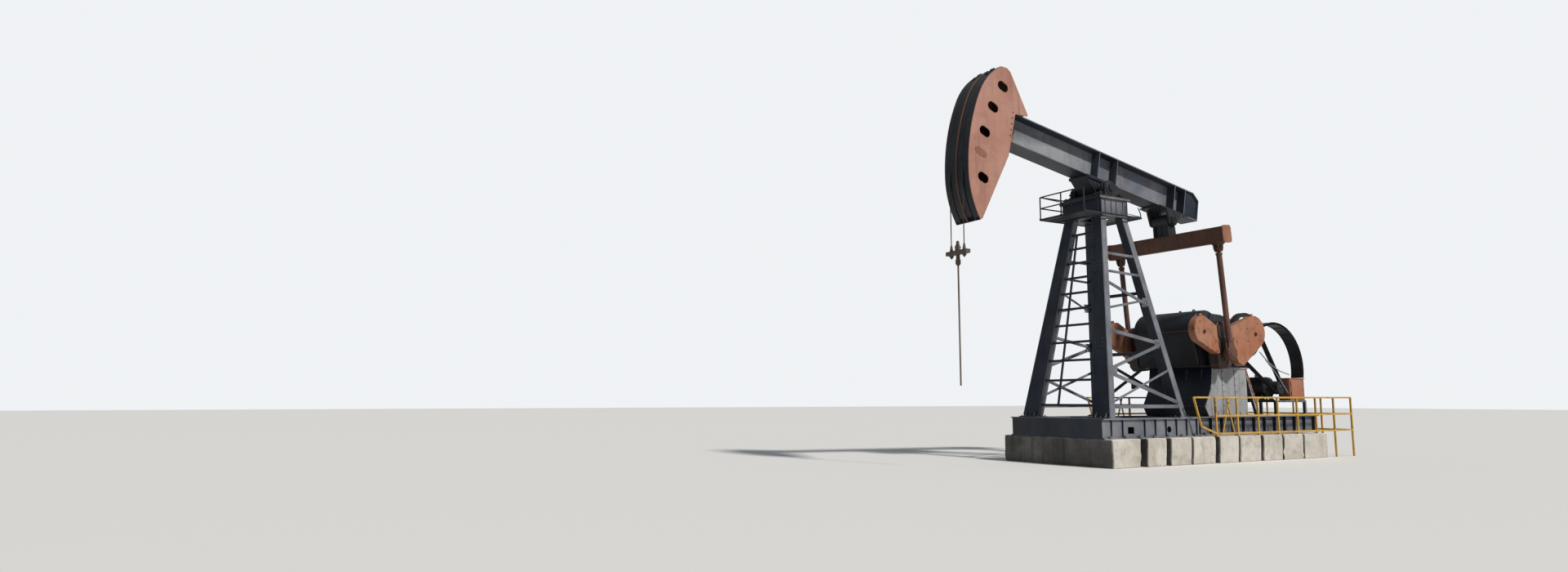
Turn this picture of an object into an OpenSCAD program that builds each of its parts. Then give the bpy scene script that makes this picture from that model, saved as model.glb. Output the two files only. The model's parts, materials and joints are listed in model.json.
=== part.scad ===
// Beam pumping unit on a concrete foundation, with its horsehead at the top of the stroke.
// +X runs from the well to the motor, +Z is up, and y = 0 is the plane of the walking beam.
// The origin is on the ground, straight below the saddle bearing.

/* [Foundation] */
// Front face of the foundation, forward of the saddle bearing
found_front = 1780; // [1700:10:2200]
// Rear face of the foundation, behind the saddle bearing
found_rear = 7300; // [6800:10:8000]
// Width of the foundation
found_w = 3720; // [3500:10:4200]
// Height of the foundation
found_h = 700; // [400:10:1000]
// Width of the widest open joint between two side blocks
joint_w = 250; // [60:10:320]
// Depth of an open joint
joint_d = 600; // [60:10:700]
// Distance of the first open joint from the foundation's front
joint_first = 1000; // [900:10:1200]
// Distance from one open joint to the next
joint_pitch = 980; // [900:10:1020]

/* [Skid] */
// Height of the skid
skid_h = 500; // [350:10:600]
// Width of the front skid
skid_w = 3220; // [3060:10:3400]
// Length of the front skid
skid_len = 3700; // [3450:10:4000]
// Thickness of the skid's flanges
skid_flange = 30; // [16:2:50]
// Thickness of the skid's side plates
skid_web = 24; // [12:2:40]
// Distance of the skid's side plates in from the flange edge
skid_inset = 60; // [30:5:100]
// Distance of the front lifting hole from the skid's front
skid_hole_front = 1040; // [900:10:1200]
// Distance of the rear lifting hole from the skid's front
skid_hole_rear = 2500; // [2300:10:2700]
// Width of the rear skid
rear_skid_w = 2160; // [2100:10:2500]
// Length of the rear skid
rear_skid_len = 6350; // [6200:10:7000]

/* [Tower] */
// Height of the saddle bearing's axis over the ground
saddle_h = 7400; // [7200:10:8000]
// Distance of the legs' top ends under the saddle bearing's axis
leg_drop = 800; // [760:10:900]
// Front face of the front legs at the skid, forward of the saddle
leg_front_x = 1400; // [1300:10:1500]
// Rear face of the rear legs at the skid, behind the saddle
leg_rear_x = 1520; // [1400:10:1600]
// Outer face of the legs at the skid
leg_base_y = 1510; // [1400:10:1560]
// Front face of the front legs at the top
leg_front_top_x = 430; // [380:10:500]
// Rear face of the rear legs at the top
leg_rear_top_x = 560; // [480:10:620]
// Outer face of the legs at the top
leg_top_y = 650; // [600:10:700]
// Width of a front leg at the skid
leg_wide_base = 570; // [400:10:640]
// Width of a front leg at the top
leg_wide_top = 340; // [250:10:400]
// Depth of a leg, front to back
leg_depth = 190; // [150:10:240]
// Width of a rear leg at the skid
leg_rear_w = 300; // [200:10:360]
// Number of rungs on the tower's front
rung_count = 11; // [8:1:14]
// Depth of a rung
rung_h = 60; // [30:5:90]
// Thickness of a rung
rung_t = 40; // [20:5:60]
// Size of the lattice bars
brace_h = 90; // [50:5:120]
// Thickness of the lattice bars
brace_t = 50; // [30:5:80]

/* [Tower top] */
// Height of the box at the tower's top
cap_h = 470; // [350:10:520]
// Thickness of the bearing plate
cap_plate = 50; // [30:5:70]
// Thickness of the cap's walls
cap_wall = 24; // [16:2:40]
// Overhang of the bearing plate to the front and the rear
cap_over = 80; // [60:10:200]
// Thickness of the platform's floor
floor_t = 50; // [30:5:80]
// Front edge of the platform, forward of the saddle
floor_front = 1240; // [1100:10:1300]
// Rear edge of the platform, behind the saddle
floor_rear = 1010; // [900:10:1200]
// Half the width of the platform
floor_y = 800; // [760:10:1000]
// Height of the platform's railing
rail_h = 630; // [500:10:640]
// Diameter of the platform's railing
rail_d = 42; // [30:2:60]

/* [Walking beam] */
// Angle of the beam at rest, horsehead up
beam_tilt = 10.56; // [8:0.01:12]
// Reach of the beam forward of the saddle
beam_front = 3520; // [3450:10:3540]
// Reach of the beam behind the saddle
beam_back = 4130; // [4000:10:4300]
// Depth of the beam
beam_h = 820; // [700:10:900]
// Width of the beam's flanges
beam_w = 560; // [400:10:600]
// Thickness of the beam's flanges
beam_flange = 34; // [20:2:50]
// Thickness of the beam's web
beam_web = 24; // [14:2:40]
// Height of the beam's underside over the saddle axis
beam_lift = 290; // [270:5:350]
// Length of the slope that takes off the beam's rear top corner
slope_len = 260; // [180:10:320]
// Height of the slope that takes off the beam's rear top corner
slope_h = 180; // [120:10:240]
// Thickness of a stiffener
stiff_t = 24; // [14:2:40]
// Distance of the front saddle stiffener ahead of the saddle bearing
stiff_front = 150; // [100:10:250]
// Distance of the rear saddle stiffener behind the saddle bearing
stiff_rear = 580; // [450:10:700]
// Distance of the first tail stiffener behind the tail bearing
stiff_tail = 50; // [0:10:120]
// Distance from the first tail stiffener to the second
stiff_step = 460; // [350:10:560]
// Diameter of the saddle shaft
saddle_d = 180; // [120:5:220]
// Half the length of the saddle shaft
saddle_len = 690; // [660:10:720]
// Half the length of the saddle bracket's foot under the beam
saddle_foot = 600; // [500:10:660]
// Half the width of the saddle bracket
saddle_w = 300; // [260:10:340]
// Width of a saddle bearing housing
bearing_w = 170; // [140:5:200]
// Radius of a saddle bearing housing
bearing_r = 210; // [180:5:230]
// Distance from the saddle to the tail bearing
tail_r = 2990; // [2900:10:3100]
// Diameter of the tail pin
tail_d = 150; // [100:5:180]
// Half the length of the tail pin
tail_len = 400; // [380:10:440]
// Half the length of the tail bracket's foot under the beam
tail_foot = 620; // [560:10:700]

/* [Horsehead] */
// Radius of the horsehead's face round the saddle, where the wires run off it
face_r = 4890; // [4850:10:4950]
// Angle over the beam where that stretch ends and the face curves in
face_upper = 13.5; // [13:0.1:15]
// Angle under the beam where that stretch ends
face_lower = 11.5; // [11:0.1:13]
// Radius of the face's upper end
head_end_upper = 1770; // [1700:10:1900]
// Radius of the face's lower end
head_end_lower = 2400; // [2300:10:2500]
// Slope of the face's upper end
head_up = 49; // [47:0.5:51]
// Slope of the face's lower end
head_down = 42; // [40:0.5:44]
// Width of the horsehead
head_w = 920; // [840:10:950]
// Thickness of the horsehead's side plates
head_plate = 24; // [12:2:40]
// Thickness of the curved face
face_t = 60; // [40:5:100]
// Radius of the round ends of the holes in the side plates
head_hole_r = 120; // [80:5:140]
// Length of such a hole beyond its width
head_hole_long = 120; // [40:5:160]
// Width of the rib along the face
face_rib_w = 60; // [40:5:100]
// Height of the rib along the face
face_rib_h = 22; // [10:2:30]

/* [Linkage] */
// Length of a pitman from tail bearing to crank pin
pitman_len = 3930; // [3800:10:4100]
// Radius of the crank pin's circle
pin_r = 600; // [500:10:700]
// Distance of the crank shaft behind the saddle
shaft_x = 3253; // [3150:1:3350]
// Half the distance between the pitmans
pitman_y = 1660; // [1650:10:1700]
// Diameter of a pitman
pitman_d = 150; // [110:5:180]
// Reach of the equalizer beyond the pitmans
eq_over = 320; // [200:10:360]
// Depth of the equalizer
eq_h = 440; // [300:10:500]
// Width of the equalizer
eq_w = 300; // [240:10:360]
// Distance of the equalizer's top under the tail pin
eq_drop = 440; // [380:10:500]
// Diameter of the crank pin
crank_pin_d = 130; // [90:5:160]
// Outer radius of the crank pin's bearing
wrist_r = 200; // [150:5:240]
// Width of the crank pin's bearing
wrist_w = 200; // [160:10:210]

/* [Cranks] */
// Thickness of a crank arm
crank_t = 300; // [220:10:360]
// Width of a crank arm
crank_w = 600; // [460:10:640]
// Inner face of the crank arms from the centre plane
crank_y = 1190; // [1170:10:1250]
// Reach of a crank arm beyond the crank pin
crank_reach = 420; // [330:10:500]
// Diameter of the crank shaft
shaft_d = 300; // [220:10:340]
// Thickness of a counterweight
weight_t = 210; // [160:10:300]
// Height of a counterweight over the arm's outer face
weight_proud = 60; // [40:5:90]
// Radius of the larger rear lobe of the counterweights
lobe_r = 465; // [420:5:480]
// Radius of the smaller front lobe
front_lobe_r = 400; // [360:10:440]
// Distance of the front lobe's centre from the crank shaft
lobe_front = 870; // [800:10:900]
// Distance of the rear lobe's centre from the crank shaft
lobe_rear = 1390; // [1300:10:1420]
// Distance of the lobes' line from the shaft at the lobes
lobe_rise = 100; // [60:5:120]

/* [Gear reducer] */
// Width of the reducer's housing
reducer_w = 1960; // [1700:10:2000]
// Radius of the housing over the crank shaft
reducer_r = 640; // [560:10:680]
// Depth of the housing under the crank shaft
reducer_low = 960; // [700:10:1000]
// Rear end of the housing behind the input shaft
reducer_rear = 340; // [300:10:400]
// Front edge of the pedestal's top behind the crank shaft
pedestal_front = 80; // [-100:10:200]
// Length of the pedestal at its top
pedestal_top = 1550; // [1400:10:1700]
// Length of the pedestal's flared foot in front of its top
pedestal_flare = 380; // [200:10:450]

/* [Belt drive] */
// Radius of the large sheave
sheave_r = 640; // [500:10:700]
// Width of the sheaves
sheave_w = 200; // [140:10:260]
// Distance of the belts' middle plane in from the housing's side
drive_in = 120; // [110:5:150]
// Radius of the motor sheave
motor_sheave_r = 190; // [140:10:240]
// Distance of the input shaft behind the crank shaft
input_dx = 1900; // [1800:10:2000]
// Distance of the motor shaft behind the crank shaft
motor_dx = 3390; // [3350:10:3420]
// Height of the motor shaft as a share of the crank shaft's height over the skid
motor_share = 0.355; // [0.33:0.005:0.4]
// Radius of the input shaft
input_r = 60; // [45:5:75]
// Thickness of the belts over the sheaves
belt_t = 26; // [18:2:30]
// Distance of the hoop's centre behind the crank shaft
hoop_dx = 3117; // [3000:1:3200]
// Height of the hoop's centre as a share of the crank shaft's height over the skid
hoop_share = 0.6; // [0.58:0.005:0.62]
// Radius of the belt guard's hoop
hoop_r = 1340; // [1300:10:1360]
// Width of the belt guard's hoop
hoop_w = 360; // [280:10:400]
// Thickness of the belt guard's hoop
hoop_t = 40; // [20:5:60]
// Length of the box at the hoop's lower end
box_len = 740; // [650:10:760]
// Height of that box's top as a share of the crank shaft's height over the skid
box_share = 0.47; // [0.45:0.005:0.5]
// Radius of the motor
motor_r = 320; // [250:10:380]
// Length of the motor
motor_len = 1000; // [800:10:1100]

/* [Guard rails] */
// Distance of the rails from the centre plane
guard_y = 1800; // [1760:10:1840]
// Height of the guard rail's top over the ground
guard_top = 1750; // [1600:10:1800]
// First post of the guard rail behind the saddle
guard_front = 2330; // [2200:10:2500]
// Rear end of the guard rail behind the saddle
guard_rear = 8800; // [8600:10:9000]
// Number of bays between the posts
guard_bays = 7; // [5:1:9]
// Size of the rail's square tube
guard_s = 45; // [30:5:60]

/* [Rod and wires] */
// Diameter of a wire
wire_d = 30; // [20:2:40]
// Clearance between the hanging wires and those on the horsehead's face
wire_gap = 0.3; // [0.2:0.1:1]
// Half the distance between the wires
wire_y = 240; // [200:10:280]
// Height of the carrier bar over the ground
carrier_z = 5350; // [5200:10:5450]
// Length of the carrier bar
carrier_w = 760; // [640:10:820]
// Diameter of the polished rod
rod_d = 44; // [30:2:60]
// Lower end of the polished rod over the ground
rod_low = 2010; // [1990:10:2100]

/* [Clearances] */
// Radial clearance of a pin in its bearing
fit = 0.05; // [0.02:0.01:0.1]
// Gap between the crank pins' ends and the pitmans' bearings
pin_gap = 6; // [5:1:20]

/* [Hidden] */
// Share of the widest joint that each joint of the foundation has, from the front
joint_share = [1, 0.7, 0.25, 0.7, 0.25, 0.45, 0.25, 0.25];
// Places of the beam's stiffeners, besides the one at its end
stiffeners = [-stiff_front, stiff_rear, tail_r + stiff_tail, tail_r + stiff_tail + stiff_step];

skid_z = found_h + skid_h;
leg_top_z = saddle_h - leg_drop;
floor_z = leg_top_z;
blue = [0.33, 0.36, 0.42];
dark = [0.12, 0.14, 0.17];
salmon = [0.80, 0.50, 0.38];
rust = [0.40, 0.24, 0.18];
grey = [0.62, 0.63, 0.65];
yellow = [0.80, 0.60, 0.12];

// The linkage at rest: the crank pin hangs below its shaft, in line with the pitman.
tail_x = tail_r * cos(beam_tilt);
tail_z = saddle_h - tail_r * sin(beam_tilt);
lean = asin((shaft_x - tail_x) / (pitman_len - pin_r));
shaft_z = tail_z - (pitman_len - pin_r) * cos(lean);
weight_y = crank_y + crank_t + weight_proud - weight_t;
beam_top = beam_lift + beam_h;
housing_z = shaft_z - reducer_low;
motor_z = round(mix(skid_z, shaft_z, motor_share));
drive_y = reducer_w / 2 - drive_in;

// Tower corners as a share of the height between skid and leg top.
function share(z) = (z - skid_z) / (leg_top_z - skid_z);
function level(t) = mix(skid_z, leg_top_z, t);
function mix(a, b, t) = a + (b - a) * t;
function front_x(z) = -mix(leg_front_x, leg_front_top_x, share(z));
function rear_x(z) = mix(leg_rear_x, leg_rear_top_x, share(z));
function outer_y(z) = mix(leg_base_y, leg_top_y, share(z));
function front_w(z) = mix(leg_wide_base, leg_wide_top, share(z));

// A box from one corner to the other.
module span(a, b) translate(a) cube(b - a);

// The same thing on the near side and on the far side.
module both_sides() {
    children();
    mirror([0, 1, 0]) children();
}

// The beam's own frame: x along the beam, z square to it, origin at the saddle.
module on_beam() translate([0, 0, saddle_h]) rotate([0, beam_tilt, 0]) children();

// The pitman's frame: origin at the tail pin, -z along the pitman.
module on_tail() translate([tail_x, 0, tail_z]) rotate([0, -lean, 0]) children();

// The crank's frame: origin at the crank shaft, -z towards the crank pin.
module on_crank() translate([shaft_x, 0, shaft_z]) rotate([0, -lean, 0]) children();

// A cylinder along y from y0 to y1.
module pin(d, y0, y1) translate([0, y1, 0]) rotate([90, 0, 0]) cylinder(d = d, h = y1 - y0, $fn = 64);

// A flat bar of an outline, between two points.
module bar(p, q, h) {
    run = q - p;
    translate(p) rotate(atan2(run[1], run[0])) translate([0, -h / 2]) square([norm(run), h]);
}

// A rectangle of an outline, from one corner to the other.
module box(a, b) translate(a) square(b - a);

// An x-z outline made a plate, from y0 to y1.
module lay(y0, y1)
    translate([0, y1, 0]) rotate([90, 0, 0]) linear_extrude(y1 - y0) children();

// A y-z outline made a plate, from x0 to x1.
module stand(x0, x1)
    translate([x0, 0, 0]) rotate([90, 0, 90]) linear_extrude(x1 - x0) children();

// A plate with an x-z outline of points, from y0 to y1.
module plate(outline, y0, y1) lay(y0, y1) polygon(outline);

// Concrete foundation with open joints between its side blocks.
module foundation() {
    color([0.75, 0.73, 0.69]) difference() {
        span([-found_front, -found_w / 2, 0], [found_rear, found_w / 2, found_h]);
        for (i = [0 : len(joint_share) - 1])
            both_sides() translate([-found_front + joint_first + i * joint_pitch, -found_w / 2 - 1, -1])
                rotate([0, 3, 0]) cube([joint_w * joint_share[i], joint_d, found_h * 1.2]);
    }
}

// Front skid under the tower: flanges, side plates with lifting holes, end and cross plates.
module skid_front() {
    x0 = -found_front + 20;
    x1 = x0 + skid_len;
    y = skid_w / 2;
    color(blue) difference() {
        union() {
            both_sides() {
                span([x0, -y, found_h], [x1, -y + 260, found_h + skid_flange]);
                span([x0, -y, skid_z - skid_flange], [x1, -y + 760, skid_z]);
                span([x0, -y + skid_inset, found_h], [x1, -y + skid_inset + skid_web, skid_z]);
            }
            for (x = [x0, x0 + 0.4 * skid_len, x1 - skid_web])
                span([x, -y + skid_inset, found_h], [x + skid_web, y - skid_inset, skid_z]);
            span([x0, -y, skid_z - skid_flange], [x0 + 420, y, skid_z]);
        }
        translate([x0 + skid_hole_front, 0, found_h + skid_h * 0.4])
            cube([0.46 * skid_h, skid_w * 2, 0.34 * skid_h], center = true);
        translate([x0 + skid_hole_rear, y * 2, found_h + skid_h * 0.4]) rotate([90, 0, 0])
            cylinder(r = 0.17 * skid_h, h = y * 4, $fn = 40);
    }
}

// Rear skid under the pedestal and motor: two beams and their cross members.
module skid_rear() {
    x0 = skid_len - found_front + 20 + 10;
    x1 = x0 + rear_skid_len;
    y = rear_skid_w / 2;
    color(blue) {
        both_sides() {
            span([x0, -y, found_h], [x1, -y + 240, found_h + skid_flange]);
            span([x0, -y, skid_z - skid_flange], [x1, -y + 240, skid_z]);
            span([x0, -y + 108, found_h], [x1, -y + 108 + skid_web, skid_z]);
        }
        for (i = [0 : 5])
            translate([mix(x0, x1 - 160, i / 5), 0, 0])
                span([0, -y + 109, found_h + skid_flange], [160, y - 109, skid_z - skid_flange]);
    }
}

// A leg between two heights, from its x limits and y limits at the foot and at the top.
module leg(x_foot, x_top, y_foot, y_top) {
    z0 = skid_z;
    z1 = leg_top_z;
    intersection() {
        plate([[x_foot[0], z0], [x_foot[1], z0], [x_top[1], z1], [x_top[0], z1]], -skid_w, 0);
        stand(-skid_w, skid_w)
            polygon([[y_foot[0], z0], [y_foot[1], z0], [y_top[1], z1], [y_top[0], z1]]);
    }
}

// A front leg: wide to the front, tapering to the tower's top.
module leg_front() color(blue)
    leg([-leg_front_x, -leg_front_x + leg_depth], [-leg_front_top_x, -leg_front_top_x + leg_depth],
        [-leg_base_y, -leg_base_y + leg_wide_base], [-leg_top_y, -leg_top_y + leg_wide_top]);

// A rear leg.
module leg_rear() color(blue)
    leg([leg_rear_x - leg_depth, leg_rear_x], [leg_rear_top_x - leg_depth, leg_rear_top_x],
        [-leg_base_y, -leg_base_y + leg_rear_w], [-leg_top_y, -leg_top_y + leg_rear_w * 0.8]);

// Each face of the tower leans in, so its bars are drawn flat and laid on that plane.
side_lean = atan2(leg_base_y - leg_top_y, leg_top_z - skid_z);
front_lean = atan2(leg_front_x - leg_front_top_x, leg_top_z - skid_z);
rear_lean = atan2(leg_rear_x - leg_rear_top_x, leg_top_z - skid_z);
function up(z, lean) = (z - skid_z) / cos(lean);

// A bar of the side lattice between two shares of the leg height.
module side_bar(t_front, t_rear, h)
    bar([front_x(level(t_front)) + leg_depth - 20, up(level(t_front), side_lean)],
        [rear_x(level(t_rear)) - leg_depth + 20, up(level(t_rear), side_lean)], h);

// A gusset plate of the side lattice, centred on a joint.
module gusset(x, z) translate([x - 110, up(z, side_lean) - 110]) square(220);

// Lattice of one side: two long diagonals, a cross below them and smaller bars above.
module bracing_side() {
    color(blue) difference() {
        translate([0, -leg_base_y, skid_z]) rotate([-side_lean, 0, 0]) lay(30, 30 + brace_t) {
            side_bar(0.055, 0.055, brace_h);
            side_bar(0.42, 0.363, brace_h);
            side_bar(0.237, 0.356, brace_h);
            side_bar(0.211, 0.074, brace_h);
            side_bar(0.078, 0.23, brace_h * 0.6);
            side_bar(0.807, 0.8, brace_h * 0.7);
            side_bar(0.715, 0.704, brace_h * 0.7);
            side_bar(0.66, 0.552, brace_h * 0.7);
            side_bar(0.53, 0.581, brace_h * 0.6);
            gusset(rear_x(level(0.36)) - leg_depth - 60, level(0.36));
            gusset(front_x(level(0.224)) + leg_depth + 60, level(0.224));
            gusset(rear_x(level(0.567)) - leg_depth - 60, level(0.567));
        }
        leg_front();
        leg_rear();
    }
}

// Rear lattice between the rear legs.
module bracing_rear() {
    levels = [level(0.055), level(0.32), level(0.62)];
    color(blue) difference() {
        translate([leg_rear_x - 120, 0, skid_z]) rotate([0, -rear_lean, 0]) stand(0, brace_t)
            for (i = [0 : 2]) {
                y = outer_y(levels[i]) - 60;
                w = up(levels[i], rear_lean);
                bar([-y, w], [y, w], brace_h);
                if (i < 1) for (s = [-1, 1])
                    bar([-s * y, w], [s * (outer_y(levels[i + 1]) - 60), up(levels[i + 1], rear_lean)],
                        brace_h * 0.8);
            }
        both_sides() leg_rear();
    }
}

// Rungs and a middle bar across the tower's front.
module front_rungs() {
    z0 = skid_z + 330;
    z1 = leg_top_z - 420;
    color(blue) difference() {
        translate([-leg_front_x + 40, 0, skid_z]) rotate([0, front_lean, 0]) stand(0, rung_t) {
            for (i = [0 : rung_count - 1]) {
                z = mix(z0, z1, pow(i / (rung_count - 1), 0.85));
                y = outer_y(z) - front_w(z) + 40;
                bar([-y, up(z, front_lean)], [y, up(z, front_lean)], rung_h);
            }
            bar([310, up(z0, front_lean)], [200, up(z1, front_lean)], 60);
        }
        both_sides() leg_front();
    }
}

// Box of plates on the leg tops, open below and to the rear, with the bearing plate on it.
module tower_cap() {
    x0 = -leg_front_top_x - 20;
    x1 = leg_rear_top_x + 20;
    y = leg_top_y + 20;
    top = leg_top_z + cap_h;
    t = cap_wall;
    color(dark) difference() {
        union() {
            span([x0, -y, leg_top_z], [x1, y, top]);
            span([x0 - cap_over, -y - 60, top], [x1 + cap_over, y + 60, top + cap_plate]);
        }
        span([x0 + t, -y + t, leg_top_z + t], [x1 - t, y - t, top]);
        span([x0 + leg_depth + 30, leg_wide_top - y + 30, leg_top_z - 1],
            [x1 - leg_depth - 30, y - leg_wide_top - 30, leg_top_z + t + 1]);
        span([x1 - t - 1, -0.72 * y, leg_top_z + 2 * t], [x1 + 1, 0.72 * y, top - t]);
    }
}

// Platform floor round the box, with a hole that fits the box.
module platform_floor() {
    color(dark) difference() {
        span([-floor_front, -floor_y, floor_z], [floor_rear, floor_y, floor_z + floor_t]);
        span([-leg_front_top_x - 20, -leg_top_y - 20, floor_z - 1],
            [leg_rear_top_x + 20, leg_top_y + 20, floor_z + floor_t + 1]);
    }
}

// Railing along the front and the far side, and the stumps that are left on the near side.
module platform_rail() {
    z = floor_z + floor_t;
    x0 = -floor_front + rail_d / 2;
    x1 = floor_rear - rail_d / 2;
    y1 = floor_y - rail_d / 2;
    color(dark) {
        for (x = [x0, mix(x0, x1, 0.5), x1]) translate([x, y1, z]) cylinder(d = rail_d, h = rail_h, $fn = 12);
        translate([x0, -y1, z]) cylinder(d = rail_d, h = rail_h, $fn = 12);
        for (x = [mix(x0, x1, 0.72), x1])
            translate([x, -y1, z]) cylinder(d = rail_d, h = rail_h * 0.45, $fn = 12);
        for (h = [0.5, 1]) {
            translate([x0, y1, z + rail_h * h - rail_d / 2]) rotate([0, 90, 0])
                cylinder(d = rail_d, h = x1 - x0, $fn = 12);
            translate([x0, y1, z + rail_h * h - rail_d / 2]) rotate([90, 0, 0])
                cylinder(d = rail_d, h = 2 * y1, $fn = 12);
        }
    }
}

// Bearing housings of the saddle shaft on the bearing plate.
module saddle_bearings() {
    base_z = leg_top_z + cap_h + cap_plate;
    y = saddle_len - 70;
    color(dark) both_sides() difference() {
        union() {
            span([-1.6 * bearing_r, -y - 20, base_z], [1.6 * bearing_r, -y + bearing_w + 20, base_z + 70]);
            span([-bearing_r, -y, base_z + 70], [bearing_r, -y + bearing_w, saddle_h]);
            translate([0, 0, saddle_h]) pin(2 * bearing_r, -y, -y + bearing_w);
        }
        translate([0, 0, saddle_h]) pin(saddle_d + 2 * fit, -2 * saddle_len, -saddle_w);
    }
}

// Pedestal under the reducer with a flared foot to the front and a slanting plate to the rear.
module pedestal() {
    x0 = shaft_x + pedestal_front;
    x1 = x0 + pedestal_top;
    high = housing_z - skid_z;
    y = rear_skid_w / 2 - 40;
    slant = [[x1, housing_z - 60], [x1, housing_z - 260], [x1 + 0.3 * high, skid_z],
        [x1 + 0.4 * high, skid_z]];
    color(grey) {
        plate([[x0 - 0.6 * pedestal_flare, skid_z], [x1, skid_z], [x1, housing_z], [x0, housing_z],
            [x0 - 0.25 * pedestal_flare, skid_z + 0.55 * high], [x0 - pedestal_flare, skid_z + 0.2 * high]],
            -y, y);
        plate(slant, -y, -y + 90);
        plate(slant, y - 90, y);
    }
}

// Reducer housing: round over the crank shaft, narrower to the rear beside the belts.
narrow_y = drive_y - sheave_w / 2 - 30;
wide_end = shaft_x + input_dx - sheave_r - belt_t - 90;
module gear_reducer() {
    y = reducer_w / 2;
    rear = shaft_x + input_dx + reducer_rear;
    color(dark) difference() {
        union() {
            plate([[shaft_x - 0.6 * reducer_r, housing_z], [wide_end, housing_z], [wide_end, shaft_z + 440],
                [shaft_x + 700, shaft_z + 540], [shaft_x, shaft_z + 0.9 * reducer_r],
                [shaft_x - reducer_r, shaft_z]], -y, y);
            plate([[wide_end - 1, housing_z], [rear, housing_z], [rear, shaft_z + 120],
                [rear - 500, shaft_z + 400], [wide_end - 1, shaft_z + 440]], -narrow_y, narrow_y);
            translate([shaft_x, 0, shaft_z]) pin(2 * reducer_r, -y, y);
            translate([shaft_x, 0, shaft_z]) pin(shaft_d + 260, -y - 110, y + 110);
            span([shaft_x - reducer_r - 60, -y - 60, shaft_z - 45], [wide_end + 40, y + 60, shaft_z + 45]);
            span([wide_end, -narrow_y, shaft_z - 45], [rear + 60, narrow_y + 60, shaft_z + 45]);
        }
        translate([shaft_x, 0, shaft_z]) pin(shaft_d + 2 * fit, -y - 200, y + 200);
    }
}

// Input shaft between the housing and the large sheave.
module input_shaft() {
    color(grey) translate([shaft_x + input_dx, 0, shaft_z])
        pin(2 * input_r, -drive_y - sheave_w / 2 - 20, -narrow_y);
}

// The belt plane is on the near side, beside the narrow rear part of the housing.
belt_y = -drive_y;
sheave_at = [shaft_x + input_dx, shaft_z];
motor_at = [shaft_x + motor_dx, motor_z];

// Large sheave with rim, six spokes and hub.
module large_sheave() {
    color(dark) translate([sheave_at[0], belt_y, sheave_at[1]]) rotate([90, 0, 0])
        difference() {
            union() {
                difference() {
                    cylinder(r = sheave_r, h = sheave_w, center = true, $fn = 96);
                    cylinder(r = sheave_r - 80, h = sheave_w + 2, center = true, $fn = 96);
                }
                cylinder(r = 2 * input_r, h = sheave_w, center = true, $fn = 48);
                for (i = [0 : 5]) rotate(i * 60) translate([1.5 * input_r, -35, -30])
                    cube([sheave_r - 1.5 * input_r - 40, 70, 60]);
            }
            cylinder(r = input_r + fit, h = sheave_w + 2, center = true, $fn = 48);
        }
}

// Motor sheave.
module motor_sheave() {
    color(dark) translate([motor_at[0], belt_y, motor_at[1]]) rotate([90, 0, 0])
        cylinder(r = motor_sheave_r, h = sheave_w, center = true, $fn = 64);
}

// Belts as one loop round both sheaves.
module drive_belts() {
    d = motor_at - sheave_at;
    gap = norm(d);
    spread = acos((sheave_r - motor_sheave_r) / gap);
    color([0.05, 0.05, 0.05]) translate([sheave_at[0], belt_y, sheave_at[1]])
        rotate([90, 0, 0]) rotate(atan2(d[1], d[0])) translate([0, 0, -sheave_w / 2 + 20])
        linear_extrude(sheave_w - 40) difference() {
            polygon(belt_loop(gap, spread, belt_t));
            polygon(belt_loop(gap, spread, 0.3));
        }
}

// Closed loop round both sheaves at some distance outside them.
function belt_loop(gap, spread, out, n = 32) = concat(
    ring(0, (sheave_r + out) / cos((180 - spread) / n), spread, 360 - spread, n),
    ring(gap, (motor_sheave_r + out) / cos(spread / n), -spread, spread, n));
function ring(x, r, from, to, n) =
    [for (i = [0 : n]) let (a = mix(from, to, i / n)) [x + r * cos(a), r * sin(a)]];

// Hoop of the belt guard, with the stay that holds its upper end to the housing.
hoop_at = [shaft_x + hoop_dx, round(mix(skid_z, shaft_z, hoop_share))];
hoop_from = -12;
hoop_to = 114;
box_end = hoop_at[0] + hoop_r - 20;
module belt_guard() {
    y0 = belt_y - hoop_w / 2;
    r = hoop_r - hoop_t / 2;
    top = hoop_at + r * [cos(hoop_to), sin(hoop_to)];
    color(dark) difference() {
        union() {
            translate([hoop_at[0], y0 + hoop_w, hoop_at[1]]) rotate([90, 0, 0])
                rotate_extrude(angle = hoop_to - hoop_from, start = hoop_from, $fn = 160)
                    translate([hoop_r - hoop_t, 0]) square([hoop_t, hoop_w]);
            lay(-narrow_y, y0 + hoop_w)
                bar([shaft_x + input_dx + 200, shaft_z + 130], top, 2 * hoop_t);
        }
        gear_reducer();
        guard_box();
    }
}

// Box at the hoop's lower end, on the motor frame.
module guard_box() {
    color(salmon) span([box_end - box_len, belt_y - hoop_w / 2, frame_top],
        [box_end, belt_y + hoop_w / 2, round(mix(skid_z, shaft_z, box_share))]);
}

// Electric motor along y, with feet.
module motor() {
    y0 = belt_y + sheave_w / 2;
    color(blue) translate([motor_at[0], 0, motor_at[1]]) {
        pin(90, y0, y0 + 120);
        pin(2 * motor_r, y0 + 120, y0 + 120 + motor_len);
        span([-motor_r, y0 + 220, -motor_r - 60], [motor_r, y0 + 20 + motor_len, -motor_r * 0.6]);
        span([motor_r * 0.6, y0 + 420, -150], [motor_r + 160, y0 + 720, 150]);
    }
}

// Frame that carries the motor and the guard's box over the skid.
frame_top = motor_z - motor_r - 60;
module motor_frame() {
    x0 = motor_at[0] - 480;
    x1 = box_end;
    y0 = -rear_skid_w / 2;
    y1 = belt_y + sheave_w / 2 + motor_len + 160;
    color(blue) {
        span([x0, y0, frame_top - 60], [x1, y1, frame_top]);
        for (x = [x0, x1 - 80], y = [y0, y1 - 80])
            span([x, y, skid_z], [x + 80, y + 80, frame_top - 30]);
    }
}

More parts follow.
